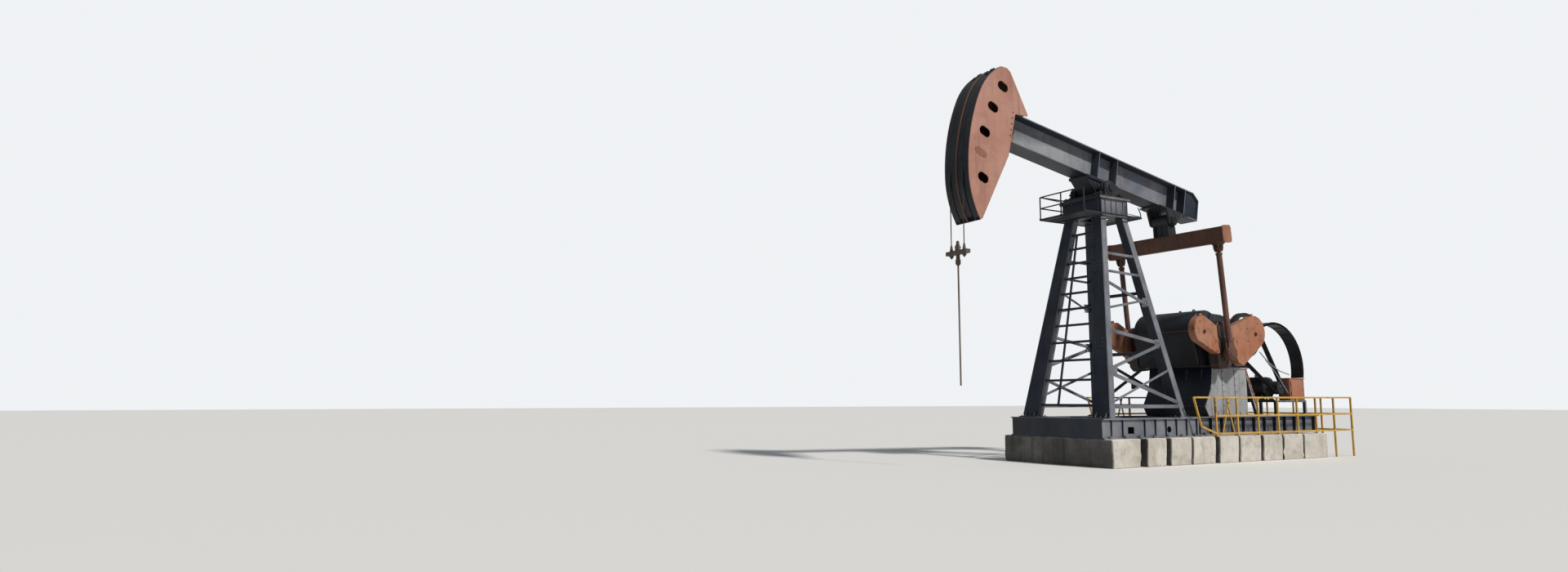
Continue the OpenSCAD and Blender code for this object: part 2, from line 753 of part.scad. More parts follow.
// Yellow guard rail of one side: posts, three rails and a bent end to the front.
module guard_rail_side() {
    s = guard_s;
    color(yellow) lay(-guard_y, -guard_y + s) {
        for (i = [0 : guard_bays]) {
            x = mix(guard_front, guard_rear - s, i / guard_bays);
            box([x, x < found_rear - s ? found_h : 0], [x + s, guard_top]);
        }
        for (z = [found_h + 50, found_h + 520, guard_top - s])
            box([guard_front, z], [guard_rear, z + s]);
        box([guard_front - 880, guard_top - s], [guard_front, guard_top]);
        bar([guard_front - 858, guard_top - s / 2], [guard_front - 600, found_h + 260], s);
        bar([guard_front - 610, found_h + 275], [guard_front + s / 2, found_h + 72], s);
    }
}

// Rail across the rear end.
module guard_rail_rear() {
    s = guard_s;
    y = guard_y - s;
    color(yellow) {
        for (z = [found_h + 50, found_h + 520, guard_top - s])
            span([guard_rear - s, -y, z], [guard_rear, y, z + s]);
        for (i = [1 : 3])
            translate([0, mix(-y, y, i / 4), 0])
                span([guard_rear - s, -s / 2, 0], [guard_rear, s / 2, guard_top]);
    }
}

// Walking beam: an I section with stiffeners over the saddle and the tail, and a sloped rear top corner.
module walking_beam() {
    b = beam_lift;
    t = beam_top;
    w = beam_w / 2;
    thick = 1.2 * beam_flange;
    color(blue) on_beam() {
        difference() {
            union() {
                span([-beam_front, -w, b], [beam_back, w, b + beam_flange]);
                span([-beam_front, -w, t - beam_flange], [beam_back, w, t]);
                span([-beam_front, -beam_web / 2, b], [beam_back, beam_web / 2, t]);
                for (x = concat(stiffeners, [beam_back - stiff_t]))
                    span([x, -w, b], [x + stiff_t, w, t]);
            }
            plate([[beam_back - slope_len, t], [beam_back + slope_len, t - 2 * slope_h],
                [beam_back + slope_len, t + slope_h], [beam_back - slope_len, t + slope_h]], -w - 1, w + 1);
        }
        plate([[beam_back - slope_len, t], [beam_back, t - slope_h], [beam_back, t - slope_h - thick],
            [beam_back - slope_len, t - thick]], -w, w);
    }
}

// Casting between the beam and the saddle shaft, with the shaft.
module saddle_bracket() {
    low = 0.72 * saddle_d;
    wide = 0.83 * saddle_d;
    color(dark) on_beam() {
        pin(saddle_d, -saddle_len, saddle_len);
        plate([[-wide, -low], [wide, -low], [saddle_foot, beam_lift - 60], [saddle_foot, beam_lift],
            [-saddle_foot, beam_lift], [-saddle_foot, beam_lift - 60]], -saddle_w, saddle_w);
    }
}

// Plates under the beam's tail that hold the tail pin.
module tail_bracket() {
    edge = tail_len - 40;
    low = 0.87 * tail_d;
    color(dark) on_beam() translate([tail_r, 0, 0]) {
        pin(tail_d, -tail_len, tail_len);
        both_sides() plate([[-low, -low], [low, -low], [tail_foot / 2, beam_lift - 80],
            [tail_foot / 2, beam_lift - 40], [-tail_foot / 2, beam_lift - 40],
            [-tail_foot / 2, beam_lift - 80]], -edge, -edge + 60);
        span([-tail_foot, -edge, beam_lift - 40], [tail_foot, edge, beam_lift]);
    }
}

// The face's three arcs from its upper end down, each with its radius and its two slopes. The middle
// one has its centre on the saddle, so the wires always leave it on the same vertical line.
face_arcs = [[head_end_upper, head_up, face_upper], [face_r, face_upper, -face_lower],
    [head_end_lower, -face_lower, -head_down]];
function toward(a) = [-cos(a), sin(a)];
function arc_centre(i) = i == 1 ? [0, 0]
    : (face_r - face_arcs[i][0]) * toward(i == 0 ? face_upper : -face_lower);
function face_point(i, a, in = 0) = arc_centre(i) + (face_arcs[i][0] - in) * toward(a);

// Points along the face from its upper end down to the last slope, some distance inside it.
function face_line(in = 0, last = -head_down, n = 16) = [for (i = [0 : 2], k = [0 : n])
    if (face_arcs[i][1] > last && (i == 0 || k > 0))
        face_point(i, mix(face_arcs[i][1], max(face_arcs[i][2], last), k / n), in)];
function reversed(list) = [for (i = [1 : len(list)]) list[len(list) - i]];

// A band along the face, between two depths inside it, from y0 to y1.
module face_band(high, low, y0, y1, last = -head_down)
    plate(concat(face_line(high, last), reversed(face_line(low, last))), y0, y1);

// Back edge of the horsehead from its tip up to its top corner.
upper_end = face_point(0, head_up);
lower_end = face_point(2, -head_down);
tip = lower_end + [60, 60];
crown = upper_end + [370, -20];
knee = [-beam_front - 40, beam_lift - 480];
neck = [-beam_front + 440, beam_top];
head_back = [tip, knee, [-beam_front + 20, beam_top - 130], neck - [0, 50], neck, crown,
    upper_end + [240, 45], upper_end + [50, 25]];

// A hole of a side plate, long in the direction of the load.
module head_hole() translate([0, head_w, 0]) rotate([90, 0, 0]) linear_extrude(2 * head_w) rotate(-14) {
    for (x = [-0.5, 0.5]) translate([x * head_hole_long, 0]) circle(r = head_hole_r, $fn = 48);
    square([head_hole_long, 2 * head_hole_r], center = true);
}

// Side plates with their holes.
module head_plates() {
    holes = [[574, 21.2], [530, 12], [452, 2.3], [464, -13.3]];
    color(salmon) on_beam() both_sides() difference() {
        plate(concat(face_line(), head_back), -head_w / 2, -head_w / 2 + head_plate);
        for (h = holes) let (at = (face_r - h[0]) * toward(h[1]))
            translate([at[0], 0, at[1]]) head_hole();
    }
}

// Inner frame: plates along the back edges and cross plates between the side plates.
module head_frame() {
    y = head_w / 2 - head_plate;
    t = 24;
    heel = [-beam_front - t / 2, beam_lift];
    starts = [mix(knee, tip, 0.72), mix(knee, tip, 0.2), [-beam_front - t / 2, beam_lift + 0.6 * beam_h],
        mix(neck, crown, 0.62)];
    slopes = [-32, -7, 8, 30];
    color(rust) on_beam() lay(-y, y) difference() {
        union() {
            box([-beam_front - t, beam_lift - 20], [-beam_front, mix(neck, crown, 0.59)[1]]);
            bar(knee + [-t, 0], heel, t);
            intersection() {
                polygon(concat(face_line(face_t + 0.3), head_back));
                union() {
                    bar(tip, knee, 2 * t);
                    bar(crown, neck, 2 * t);
                    for (i = [0 : 3]) bar(starts[i], face_point(1, slopes[i]), t);
                }
            }
        }
        box([-beam_front, 0], [0, beam_top]);
    }
}

// Curved face between the side plates, with a groove for each wire.
module head_face() {
    w = head_w / 2 - head_plate;
    half = wire_d / 2 + 1;
    color(dark) on_beam() difference() {
        face_band(0, face_t, -w, w);
        for (y = [-wire_y, wire_y]) face_band(-5, wire_d, y - half, y + half);
    }
}

// Rib along the middle of the face.
module head_rib() {
    color(rust) on_beam() face_band(-face_rib_h, 0, -face_rib_w / 2, face_rib_w / 2);
}

// Wires that lie in the face's grooves.
module head_wires() {
    last = -beam_tilt - 1.5;
    color(dark) on_beam() for (y = [-wire_y, wire_y]) {
        face_band(0, wire_d, y - 0.3 * wire_d, y + 0.3 * wire_d, last);
        face_band(0.2 * wire_d, 0.8 * wire_d, y - wire_d / 2, y + wire_d / 2, last);
    }
}

// Equalizer with its bearing for the tail pin.
module equalizer() {
    y = pitman_y + eq_over;
    low = -eq_drop - eq_h;
    color(rust) on_tail() difference() {
        union() {
            pin(tail_d + 220, -260, 260);
            span([-170, -260, -eq_drop], [170, 260, 0]);
            plate([[-eq_w / 2, low], [eq_w / 2, low], [eq_w / 2, -eq_drop], [-eq_w / 2, -eq_drop]], -y, y);
        }
        pin(tail_d + 2 * fit, -300, 300);
    }
}

// Pitman of one side with the crank pin's bearing, which is closed to the outside.
module pitman_side() {
    low = -eq_drop - eq_h;
    color(rust) on_tail() difference() {
        union() {
            translate([0, -pitman_y, -pitman_len + wrist_r - 40])
                cylinder(d = pitman_d, h = pitman_len - wrist_r + 40 + low, $fn = 48);
            translate([0, 0, -pitman_len]) pin(2 * wrist_r, -pitman_y - wrist_w / 2, -pitman_y + wrist_w / 2);
        }
        translate([0, 0, -pitman_len])
            pin(crank_pin_d + 2 * fit, -pitman_y - wrist_w / 2 + 60, -pitman_y + wrist_w);
    }
}

// Shaft between the cranks.
module crank_shaft() {
    color(grey) translate([shaft_x, 0, shaft_z]) pin(shaft_d, -crank_y, crank_y);
}

// Crank arm of one side with the stub of its crank pin.
module crank_side() {
    y0 = -crank_y - crank_t;
    color(rust) on_crank() {
        plate([[-crank_w / 2, 0], [-crank_w / 2, -pin_r - crank_reach + 120],
            [-crank_w / 2 + 120, -pin_r - crank_reach], [crank_w / 2 - 120, -pin_r - crank_reach],
            [crank_w / 2, -pin_r - crank_reach + 120], [crank_w / 2, 0]], y0, -crank_y);
        pin(crank_w, y0, -crank_y);
        translate([0, 0, -pin_r]) pin(crank_pin_d, -pitman_y + wrist_w / 2 + pin_gap, y0);
    }
}

// Points along a counterweight's round lobe, between two angles.
function lobe(at, r, from, to, n = 14) =
    [for (i = [0 : n]) let (a = mix(from, to, i / n)) at + r * [cos(a), sin(a)]];

// Two counterweights on one crank arm, the rear one larger. Each tapers from its lobe to a tip.
module weights_side() {
    r = lobe_r;
    f = front_lobe_r;
    edge = crank_w / 2 + 1;
    front = [-lobe_front, lobe_rise];
    rear = [lobe_rear, -lobe_rise];
    y0 = -weight_y - weight_t;
    color(salmon) on_crank() {
        difference() {
            plate(concat([[-edge, 0.45 * f]], lobe(front, f, 78, 222),
                [[-edge - 0.28 * f, -1.46 * f], [-edge - 0.06 * f, -1.48 * f], [-edge, -1.38 * f]]),
                y0, -weight_y);
            translate([front[0], 0, front[1] - 0.13 * f]) pin(0.3 * f, y0 - 10, 0);
        }
        difference() {
            plate(concat([[edge, -0.54 * r], [edge, -1.2 * r], [edge + 0.41 * r, -1.94 * r],
                [edge + 0.86 * r, -2.17 * r]], lobe(rear, r, -52, 108),
                [[edge + 1.12 * r, 0.52 * r], [edge, 0.26 * r]]), y0, -weight_y);
            translate([rear[0], 0, rear[1] - 0.13 * r]) pin(0.26 * r, y0 - 10, 0);
        }
    }
}

// Wires above the carrier that stay in place while the hanger moves.
wire_x = -face_r - wire_d / 2 - wire_gap;
module upper_wires() {
    color(dark) both_sides() translate([wire_x, wire_y, carrier_z + 50])
        cylinder(d = wire_d - 8, h = saddle_h - carrier_z - 50, $fn = 16);
}

// Wires of the hanger, hollow so that the upper wires can slip in them.
module hanger_wires() {
    color(dark) both_sides() translate([wire_x, wire_y, carrier_z + 40]) difference() {
        cylinder(d = wire_d, h = saddle_h - carrier_z - 60, $fn = 16);
        translate([0, 0, 5]) cylinder(d = wire_d - 7, h = saddle_h, $fn = 16);
    }
}

// Carrier bar with wire sockets and the rod clamp.
module carrier_bar() {
    color(rust) difference() {
        union() {
            translate([wire_x, 0, carrier_z - 40]) cube([150, carrier_w, 100], center = true);
            for (y = [-wire_y, wire_y]) translate([wire_x, y, carrier_z]) cylinder(d = 90, h = 40, $fn = 32);
            translate([wire_x, 0, carrier_z + 10]) cylinder(d = 130, h = 120, $fn = 32);
            translate([wire_x, 0, carrier_z - 330]) cylinder(d = 130, h = 110, $fn = 32);
            translate([wire_x, 0, carrier_z - 220]) cylinder(d = 90, h = 140, $fn = 32);
        }
        translate([wire_x, 0, carrier_z - 400]) cylinder(d = rod_d + 0.4, h = 700, $fn = 32);
    }
}

// Polished rod from the clamp down to where it enters the well.
module polished_rod() {
    color(rust) translate([wire_x, 0, rod_low])
        cylinder(d = rod_d, h = carrier_z + 260 - rod_low, $fn = 32);
}

foundation();
skid_front();
skid_rear();
leg_front();  // leg_front_near
mirror([0, 1, 0]) leg_front();  // leg_front_far
leg_rear();  // leg_rear_near
mirror([0, 1, 0]) leg_rear();  // leg_rear_far
bracing_side();  // bracing_near
mirror([0, 1, 0]) bracing_side();  // bracing_far
bracing_rear();
front_rungs();
tower_cap();
platform_floor();
platform_rail();
saddle_bearings();
pedestal();
gear_reducer();
input_shaft();
large_sheave();
drive_belts();
motor_sheave();
belt_guard();
guard_box();
motor();
motor_frame();
guard_rail_side();  // guard_rail_near
mirror([0, 1, 0]) guard_rail_side();  // guard_rail_far
guard_rail_rear();
walking_beam();
saddle_bracket();
tail_bracket();
head_plates();
head_frame();
head_face();
head_rib();
head_wires();
equalizer();
pitman_side();  // pitman_near
mirror([0, 1, 0]) pitman_side();  // pitman_far
crank_shaft();
crank_side();  // crank_near
mirror([0, 1, 0]) crank_side();  // crank_far
weights_side();  // weights_near
mirror([0, 1, 0]) weights_side();  // weights_far
upper_wires();
hanger_wires();
carrier_bar();
polished_rod();
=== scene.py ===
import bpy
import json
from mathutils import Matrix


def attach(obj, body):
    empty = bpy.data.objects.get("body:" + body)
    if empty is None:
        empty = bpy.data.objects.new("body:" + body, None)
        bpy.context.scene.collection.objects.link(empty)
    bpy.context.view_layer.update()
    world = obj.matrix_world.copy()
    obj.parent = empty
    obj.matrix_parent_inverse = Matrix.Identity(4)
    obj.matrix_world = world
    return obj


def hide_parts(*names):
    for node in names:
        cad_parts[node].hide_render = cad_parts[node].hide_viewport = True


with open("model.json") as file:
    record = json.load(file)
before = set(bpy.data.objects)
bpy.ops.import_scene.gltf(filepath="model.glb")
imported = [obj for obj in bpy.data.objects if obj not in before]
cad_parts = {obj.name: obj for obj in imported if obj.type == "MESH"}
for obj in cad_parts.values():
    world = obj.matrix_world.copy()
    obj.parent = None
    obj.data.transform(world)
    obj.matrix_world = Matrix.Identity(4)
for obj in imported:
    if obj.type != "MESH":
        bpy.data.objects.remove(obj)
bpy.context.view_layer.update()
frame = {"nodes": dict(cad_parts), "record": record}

import itertools
import json
import math
import random

import bmesh
import bpy
from mathutils import Matrix, Vector

scene = bpy.context.scene


def addObject(name, data):
    thing = bpy.data.objects.new(name, data)
    scene.collection.objects.link(thing)
    return thing


def pick(sizes, keys):
    return [sizes[key] for key in keys.split()]


def addNode(tree, kind, **settings):
    node = tree.nodes.new(kind)
    for key, value in settings.items():
        setattr(node, key, value)
    return node


def setInput(node, key, value):
    if isinstance(value, (int, float)):
        node.inputs[key].default_value = value
    elif isinstance(value, tuple):
        node.inputs[key].default_value = (*value, 1)
    else:
        node.id_data.links.new(value, node.inputs[key])


# camera, floor and light
view = {
    "place": (-20.083, -17.612, 1.680),
    "pitch": 96.967,       # degrees from straight down
    "heading": -29.995,    # degrees round the vertical
    "lens": 21.26,
    "sensor": 36.0,
    "clipEnd": 400,
}
camData = bpy.data.cameras.new("photoCamera")
camData.lens = view["lens"]
camData.sensor_width = view["sensor"]
camData.clip_end = view["clipEnd"]
camera = addObject("photoCamera", camData)
camera.location = view["place"]
camera.rotation_euler = (math.radians(view["pitch"]), 0, math.radians(view["heading"]))
scene.camera = camera
scene.view_settings.view_transform = "Standard"

light = {
    "sunStrength": 3.2,
    "sunAngle": 5.0,                # degrees across, for a soft edge
    "sunFrom": (0.22, -1.0, 1.0),   # direction towards the sun
    "sunColor": (1.0, 0.97, 0.92),
    "fillStrength": 0.27,
    "skyColor": (0.84, 0.91, 1.0),
    "backdrop": (0.87, 0.89, 0.91),
    "floorColor": (0.74, 0.73, 0.71),
    "floorRough": 0.9,
    "floorSize": 160,
}
sunData = bpy.data.lights.new("keySun", "SUN")
sunData.energy = light["sunStrength"]
sunData.angle = math.radians(light["sunAngle"])
sunData.color = light["sunColor"]
sun = addObject("keySun", sunData)
sun.rotation_euler = Vector(light["sunFrom"]).to_track_quat("Z", "Y").to_euler()

world = bpy.data.worlds.new("studio")
scene.world = world
world.use_nodes = True
sky = world.node_tree
sky.nodes.clear()
lightBg = addNode(sky, "ShaderNodeBackground")
setInput(lightBg, "Color", light["skyColor"])
setInput(lightBg, "Strength", light["fillStrength"])
seenBg = addNode(sky, "ShaderNodeBackground")
setInput(seenBg, "Color", light["backdrop"])
mixBg = addNode(sky, "ShaderNodeMixShader")
setInput(mixBg, "Fac", addNode(sky, "ShaderNodeLightPath").outputs["Is Camera Ray"])
setInput(mixBg, 1, lightBg.outputs[0])
setInput(mixBg, 2, seenBg.outputs[0])
setInput(addNode(sky, "ShaderNodeOutputWorld"), "Surface", mixBg.outputs[0])

floorMesh = bpy.data.meshes.new("floor")
sheet = bmesh.new()
bmesh.ops.create_grid(sheet, x_segments=1, y_segments=1, size=light["floorSize"])
sheet.to_mesh(floorMesh)
sheet.free()
floor = addObject("floor", floorMesh)
floorMat = bpy.data.materials.new("floorPaper")
floorMat.use_nodes = True
floorShader = floorMat.node_tree.nodes["Principled BSDF"]
setInput(floorShader, "Base Color", light["floorColor"])
setInput(floorShader, "Roughness", light["floorRough"])
floorMesh.materials.append(floorMat)
print("camera, light and floor are set")


# paint that has faded, streaked and rusted
weather = bpy.data.node_groups.new("weatheredPaint", "ShaderNodeTree")
weatherInputs = {
    "Paint": (0.3, 0.3, 0.3, 1), "Faded": (0.5, 0.5, 0.5, 1), "Rust": (0.12, 0.05, 0.025, 1),
    "Edge": (0.16, 0.075, 0.04, 1), "Rust Amount": 0.3, "Streaks": 0.3, "Grime": 0.3,
    "Edge Wear": 0.6, "Gloss": 0.5,
}
noises = {   # scale, detail and roughness
    "broad": (0.9, 4, 0.6), "patch": (3.2, 8, 0.66), "fine": (26.0, 6, 0.7),
    "speck": (90.0, 3, 0.5), "streak": (5.0, 6, 0.62),
}
ramps = {"fade": (0.35, 0.68), "streak": (0.50, 0.72), "grime": (0.45, 0.75),
         "rustTone": (0.4, 0.65), "edge": (0.36, 0.56)}
soil = {"brightRust": (0.26, 0.11, 0.045), "dirt": (0.035, 0.032, 0.028),
        "streakShape": (1.0, 1.0, 0.09)}

for key, value in weatherInputs.items():
    kind = "NodeSocketColor" if isinstance(value, tuple) else "NodeSocketFloat"
    sock = weather.interface.new_socket(name=key, in_out="INPUT", socket_type=kind)
    sock.default_value = value
for key, kind in (("Color", "NodeSocketColor"), ("Roughness", "NodeSocketFloat"),
                  ("Height", "NodeSocketFloat")):
    weather.interface.new_socket(name=key, in_out="OUTPUT", socket_type=kind)


def mathNode(op, *values, clamp=False):
    node = addNode(weather, "ShaderNodeMath", operation=op, use_clamp=clamp)
    for i, value in enumerate(values):
        setInput(node, i, value)
    return node.outputs[0]


def rampMask(source, low, high):
    node = addNode(weather, "ShaderNodeMapRange", interpolation_type="SMOOTHSTEP")
    for key, value in (("Value", source), ("From Min", low), ("From Max", high)):
        setInput(node, key, value)
    return node.outputs["Result"]


def noiseNode(kind, where):
    node = addNode(weather, "ShaderNodeTexNoise")
    for key, value in zip(("Scale", "Detail", "Roughness"), noises[kind]):
        setInput(node, key, value)
    setInput(node, "Vector", where)
    return node.outputs["Fac"]


def mixColor(fac, a, b):
    node = addNode(weather, "ShaderNodeMix", data_type="RGBA", blend_type="MIX")
    for key, value in ((0, fac), (6, a), (7, b)):
        setInput(node, key, value)
    return node.outputs[2]


given = addNode(weather, "NodeGroupInput").outputs
coords = addNode(weather, "ShaderNodeTexCoord").outputs["Object"]
edgeMark = addNode(weather, "ShaderNodeAttribute", attribute_name="wear").outputs["Fac"]
stretch = addNode(weather, "ShaderNodeMapping")
stretch.inputs["Scale"].default_value = soil["streakShape"]
setInput(stretch, "Vector", coords)
broad, patch, fine, speck = (noiseNode(kind, coords)
                             for kind in ("broad", "patch", "fine", "speck"))
streak = noiseNode("streak", stretch.outputs["Vector"])
base = mixColor(rampMask(broad, *ramps["fade"]), given["Paint"], given["Faded"])
tone = addNode(weather, "ShaderNodeVectorMath", operation="SCALE")
setInput(tone, 0, base)
setInput(tone, "Scale", mathNode("MULTIPLY_ADD", fine, 0.30, 0.85))
streakMask = mathNode("MULTIPLY", rampMask(streak, *ramps["streak"]), given["Streaks"])
grimeMask = mathNode("MULTIPLY", rampMask(patch, *ramps["grime"]), given["Grime"])
rustEdge = mathNode("SUBTRACT", 0.86, mathNode("MULTIPLY", given["Rust Amount"], 0.5))
rustSource = mathNode("ADD", mathNode("MULTIPLY", patch, 0.75), mathNode("MULTIPLY", fine, 0.35))
rustMask = rampMask(rustSource, rustEdge, mathNode("ADD", rustEdge, 0.06))
rustTone = mixColor(rampMask(fine, *ramps["rustTone"]), given["Rust"], soil["brightRust"])
edgeMask = mathNode("MULTIPLY", mathNode("MULTIPLY", edgeMark, rampMask(patch, *ramps["edge"])),
                    given["Edge Wear"])
dirty = mixColor(grimeMask, tone.outputs[0], soil["dirt"])
worn = mixColor(edgeMask, mixColor(streakMask, dirty, given["Rust"]), given["Edge"])
gloss = mathNode("MULTIPLY_ADD", speck, 0.12, given["Gloss"])
result = addNode(weather, "NodeGroupOutput")
setInput(result, "Color", mixColor(rustMask, worn, rustTone))
setInput(result, "Roughness", mathNode("ADD", gloss, mathNode("MULTIPLY", rustMask, 0.35),
                                       clamp=True))
setInput(result, "Height", mathNode("ADD", mathNode("MULTIPLY", fine, 0.35),
                                    mathNode("MULTIPLY", rustMask, -0.5)))


def paintMaterial(name, values):
    mat = bpy.data.materials.new(name)
    mat.use_nodes = True
    tree = mat.node_tree
    shader = tree.nodes["Principled BSDF"]
    group = addNode(tree, "ShaderNodeGroup", node_tree=weather)
    for key in weatherInputs:
        if key in values:
            setInput(group, key, values[key])
    bump = addNode(tree, "ShaderNodeBump")
    setInput(bump, "Strength", values.get("bump", 0.25))
    setInput(bump, "Distance", 0.01)
    setInput(bump, "Height", group.outputs["Height"])
    for key, value in (("Base Color", group.outputs["Color"]),
                       ("Roughness", group.outputs["Roughness"]),
                       ("Normal", bump.outputs["Normal"]),
                       ("Metallic", values.get("metal", 0.0)),
                       ("Specular IOR Level", values.get("specular", 0.4))):
        setInput(shader, key, value)
    mat.diffuse_color = (*values["Paint"], 1)
    return mat


# each finish: paint and faded paint, then rust, streaks, grime and gloss, and what else differs
finishKeys = ("Paint", "Faded", "Rust Amount", "Streaks", "Grime", "Gloss")
finishRows = (
    ("tower_paint", (0.118, 0.132, 0.160), (0.190, 0.200, 0.225), 0.24, 0.25, 0.40, 0.42, {}),
    ("dark_metal", (0.012, 0.015, 0.020), (0.024, 0.030, 0.038), 0.20, 0.15, 0.4, 0.38,
     {"Edge Wear": 0.45, "specular": 0.28}),
    ("pedestal_paint", (0.26, 0.27, 0.285), (0.335, 0.34, 0.355), 0.22, 0.40, 0.40, 0.5, {}),
    ("steel", (0.22, 0.18, 0.15), (0.16, 0.12, 0.09), 0.5, 0.3, 0.4, 0.4, {"metal": 0.5}),
    ("belt_rubber", (0.012, 0.012, 0.012), (0.025, 0.023, 0.021), 0.0, 0.0, 0.3, 0.7,
     {"Edge Wear": 0.0}),
    ("salmon_paint", (0.345, 0.162, 0.115), (0.405, 0.215, 0.165), 0.24, 0.42, 0.20, 0.55,
     {"Rust": (0.17, 0.07, 0.04)}),
    ("worn_orange", (0.33, 0.118, 0.058), (0.37, 0.175, 0.110), 0.46, 0.40, 0.35, 0.55,
     {"slot": "salmon_paint", "Rust": (0.055, 0.028, 0.020), "Edge Wear": 0.9}),
    ("rail_paint", (0.52, 0.285, 0.032), (0.56, 0.34, 0.075), 0.46, 0.45, 0.3, 0.5,
     {"Edge Wear": 0.9}),
    ("rusty_paint", (0.090, 0.040, 0.028), (0.145, 0.064, 0.041), 0.45, 0.4, 0.45, 0.6,
     {"Rust": (0.035, 0.020, 0.016)}),
    ("rust_black", (0.026, 0.017, 0.014), (0.060, 0.032, 0.024), 0.42, 0.3, 0.5, 0.45,
     {"slot": "rusty_paint"}),
    ("rust_bright", (0.26, 0.105, 0.058), (0.30, 0.145, 0.095), 0.4, 0.3, 0.4, 0.6,
     {"slot": "rusty_paint"}),
    ("clamp_metal", (0.060, 0.046, 0.040), (0.105, 0.080, 0.062), 0.42, 0.3, 0.5, 0.5,
     {"slot": "rusty_paint"}),
    ("rusty_salmon", (0.20, 0.085, 0.060), (0.27, 0.125, 0.090), 0.35, 0.4, 0.4, 0.6,
     {"slot": "salmon_paint"}),
    ("concrete", (0.44, 0.405, 0.355), (0.57, 0.54, 0.49), 0.14, 0.42, 0.38, 0.8,
     {"Rust": (0.17, 0.13, 0.09), "Edge": (0.62, 0.60, 0.55), "Edge Wear": 0.5, "bump": 0.7,
      "specular": 0.2}),
    # painted shade on the concrete: near black for faces that look forward or down
    ("oily_concrete", (0.060, 0.056, 0.052), (0.15, 0.142, 0.130), 0.36, 0.7, 0.6, 0.55,
     {"slot": "concrete", "Rust": (0.020, 0.018, 0.016), "Edge": (0.35, 0.33, 0.30),
      "bump": 0.7}),
    ("wire_rope", (0.045, 0.042, 0.040), (0.09, 0.08, 0.07), 0.4, 0.2, 0.4, 0.45,
     {"slot": "dark_metal", "metal": 0.4}),
    ("old_rope", (0.30, 0.24, 0.09), (0.16, 0.11, 0.05), 0.4, 0.3, 0.3, 0.8,
     {"slot": "rusty_paint"}),
    # painted shade: a dark navy for faces that look forward or down, weathered like the tower's
    # paint
    ("oily_front", (0.010, 0.016, 0.028), (0.026, 0.036, 0.054), 0.27, 0.5, 0.5, 0.36,
     {"slot": "tower_paint", "Rust": (0.05, 0.026, 0.018), "Edge": (0.09, 0.10, 0.12),
      "specular": 0.3}),
)
finishes = {name: {**dict(zip(finishKeys, row)), **more} for name, *row, more in finishRows}
paints = {name: paintMaterial(name + "Finish", values) for name, values in finishes.items()}
slotOf = {entry["node"]: entry["material_slot"] for entry in frame["record"]["subparts"]}
bodyOf = {node: body for body, nodes in frame["record"]["behaviour"]["bodies"].items()
          for node in nodes}

# modelling kit
upward, downward, nearward = (0, 0, 1), (0, 0, -1), (0, -1, 0)
forward, rearward, farward = (-1, 0, 0), (1, 0, 0), (0, 1, 0)
# painted shade: the dark finish given to faces that look forward or down
paintedShade = "oily_front"
sides = (("near", False), ("far", True))   # the far side is the near side mirrored
edgeCut = {"bend": 32.0, "smooth": 30.0}   # degrees


def place(point, pitch):
    return Matrix.Translation(point) @ Matrix.Rotation(math.radians(pitch), 4, "Y")


def along(low, high, share):
    return low + (high - low) * share


def aim(angle):
    return Vector((math.cos(angle), 0, math.sin(angle)))


def spaced(count, first, pitch):
    return [first + k * pitch for k in range(count)]


def vertsOf(geom):
    return [item for item in geom if isinstance(item, bmesh.types.BMVert)]


def addBox(bm, low, high, turn=None):
    low, high = Vector(low), Vector(high)
    fit = Matrix.Translation((low + high) / 2) @ Matrix.Diagonal((*(high - low), 1))
    bmesh.ops.create_cube(bm, size=1, matrix=(turn @ fit) if turn else fit)


def addRod(bm, start, end, radius, sides=20, tip=None):
    start, end = Vector(start), Vector(end)
    run = end - start
    spin = run.to_track_quat("Z", "Y").to_matrix().to_4x4()
    bmesh.ops.create_cone(bm, cap_ends=True, segments=sides, radius1=radius,
                          radius2=radius if tip is None else tip, depth=run.length,
                          matrix=Matrix.Translation((start + end) / 2) @ spin)


def addPrism(bm, outline, start, end, axis="y"):
    order = {"y": lambda a, b, c: (a, c, b), "x": lambda a, b, c: (c, a, b)}[axis]
    face = bm.faces.new([bm.verts.new(order(a, b, start)) for a, b in outline])
    verts = vertsOf(bmesh.ops.extrude_face_region(bm, geom=[face])["geom"])
    bmesh.ops.translate(bm, verts=verts, vec=order(0, 0, end - start))
    return list(face.verts) + verts


def addBar(bm, start, end, width, depth, up=farward, lip=0.0):
    # a flat bar, or an angle section where it has a lip
    start, end = Vector(start), Vector(end)
    run = (end - start).normalized()
    side = run.cross(Vector(up)).normalized()
    turn = Matrix((run, side, side.cross(run))).transposed().to_4x4()
    turn.translation = start
    length = (end - start).length
    w, d = width / 2, depth / 2
    if lip:
        outline = [(-w, -d), (w, -d), (w, -d + lip), (-w + lip, -d + lip), (-w + lip, d), (-w, d)]
        bmesh.ops.transform(bm, matrix=turn, verts=addPrism(bm, outline, 0, length, "x"))
    else:
        addBox(bm, (0, -w, -d), (length, w, d), turn)


def addBolt(bm, at, axis, radius=0.018):
    # a washer, a hexagon nut and the thread's end
    at, axis = Vector(at), Vector(axis).normalized() * radius
    for first, last, wide, sides in ((0, 0.25, 1.35, 14), (0.2, 1.1, 1, 6), (1, 1.6, 0.55, 10)):
        addRod(bm, at + axis * first, at + axis * last, radius * wide, sides)


def boltRing(bm, at, axis, radius, count, size=0.016, turn=0.0):
    axis = Vector(axis).normalized()
    side = axis.orthogonal().normalized()
    for i in range(count):
        spin = Matrix.Rotation(2 * math.pi * i / count + turn, 3, axis)
        addBolt(bm, Vector(at) + spin @ side * radius, axis, size)


def boltRow(bm, start, end, count, axis, size=0.016):
    for i in range(count):
        addBolt(bm, Vector(start).lerp(Vector(end), i / (count - 1)), axis, size)


def boltGrid(bm, xs, ys, zs, axis, size):
    for at in itertools.product(xs, ys, zs):
        addBolt(bm, at, axis, size)


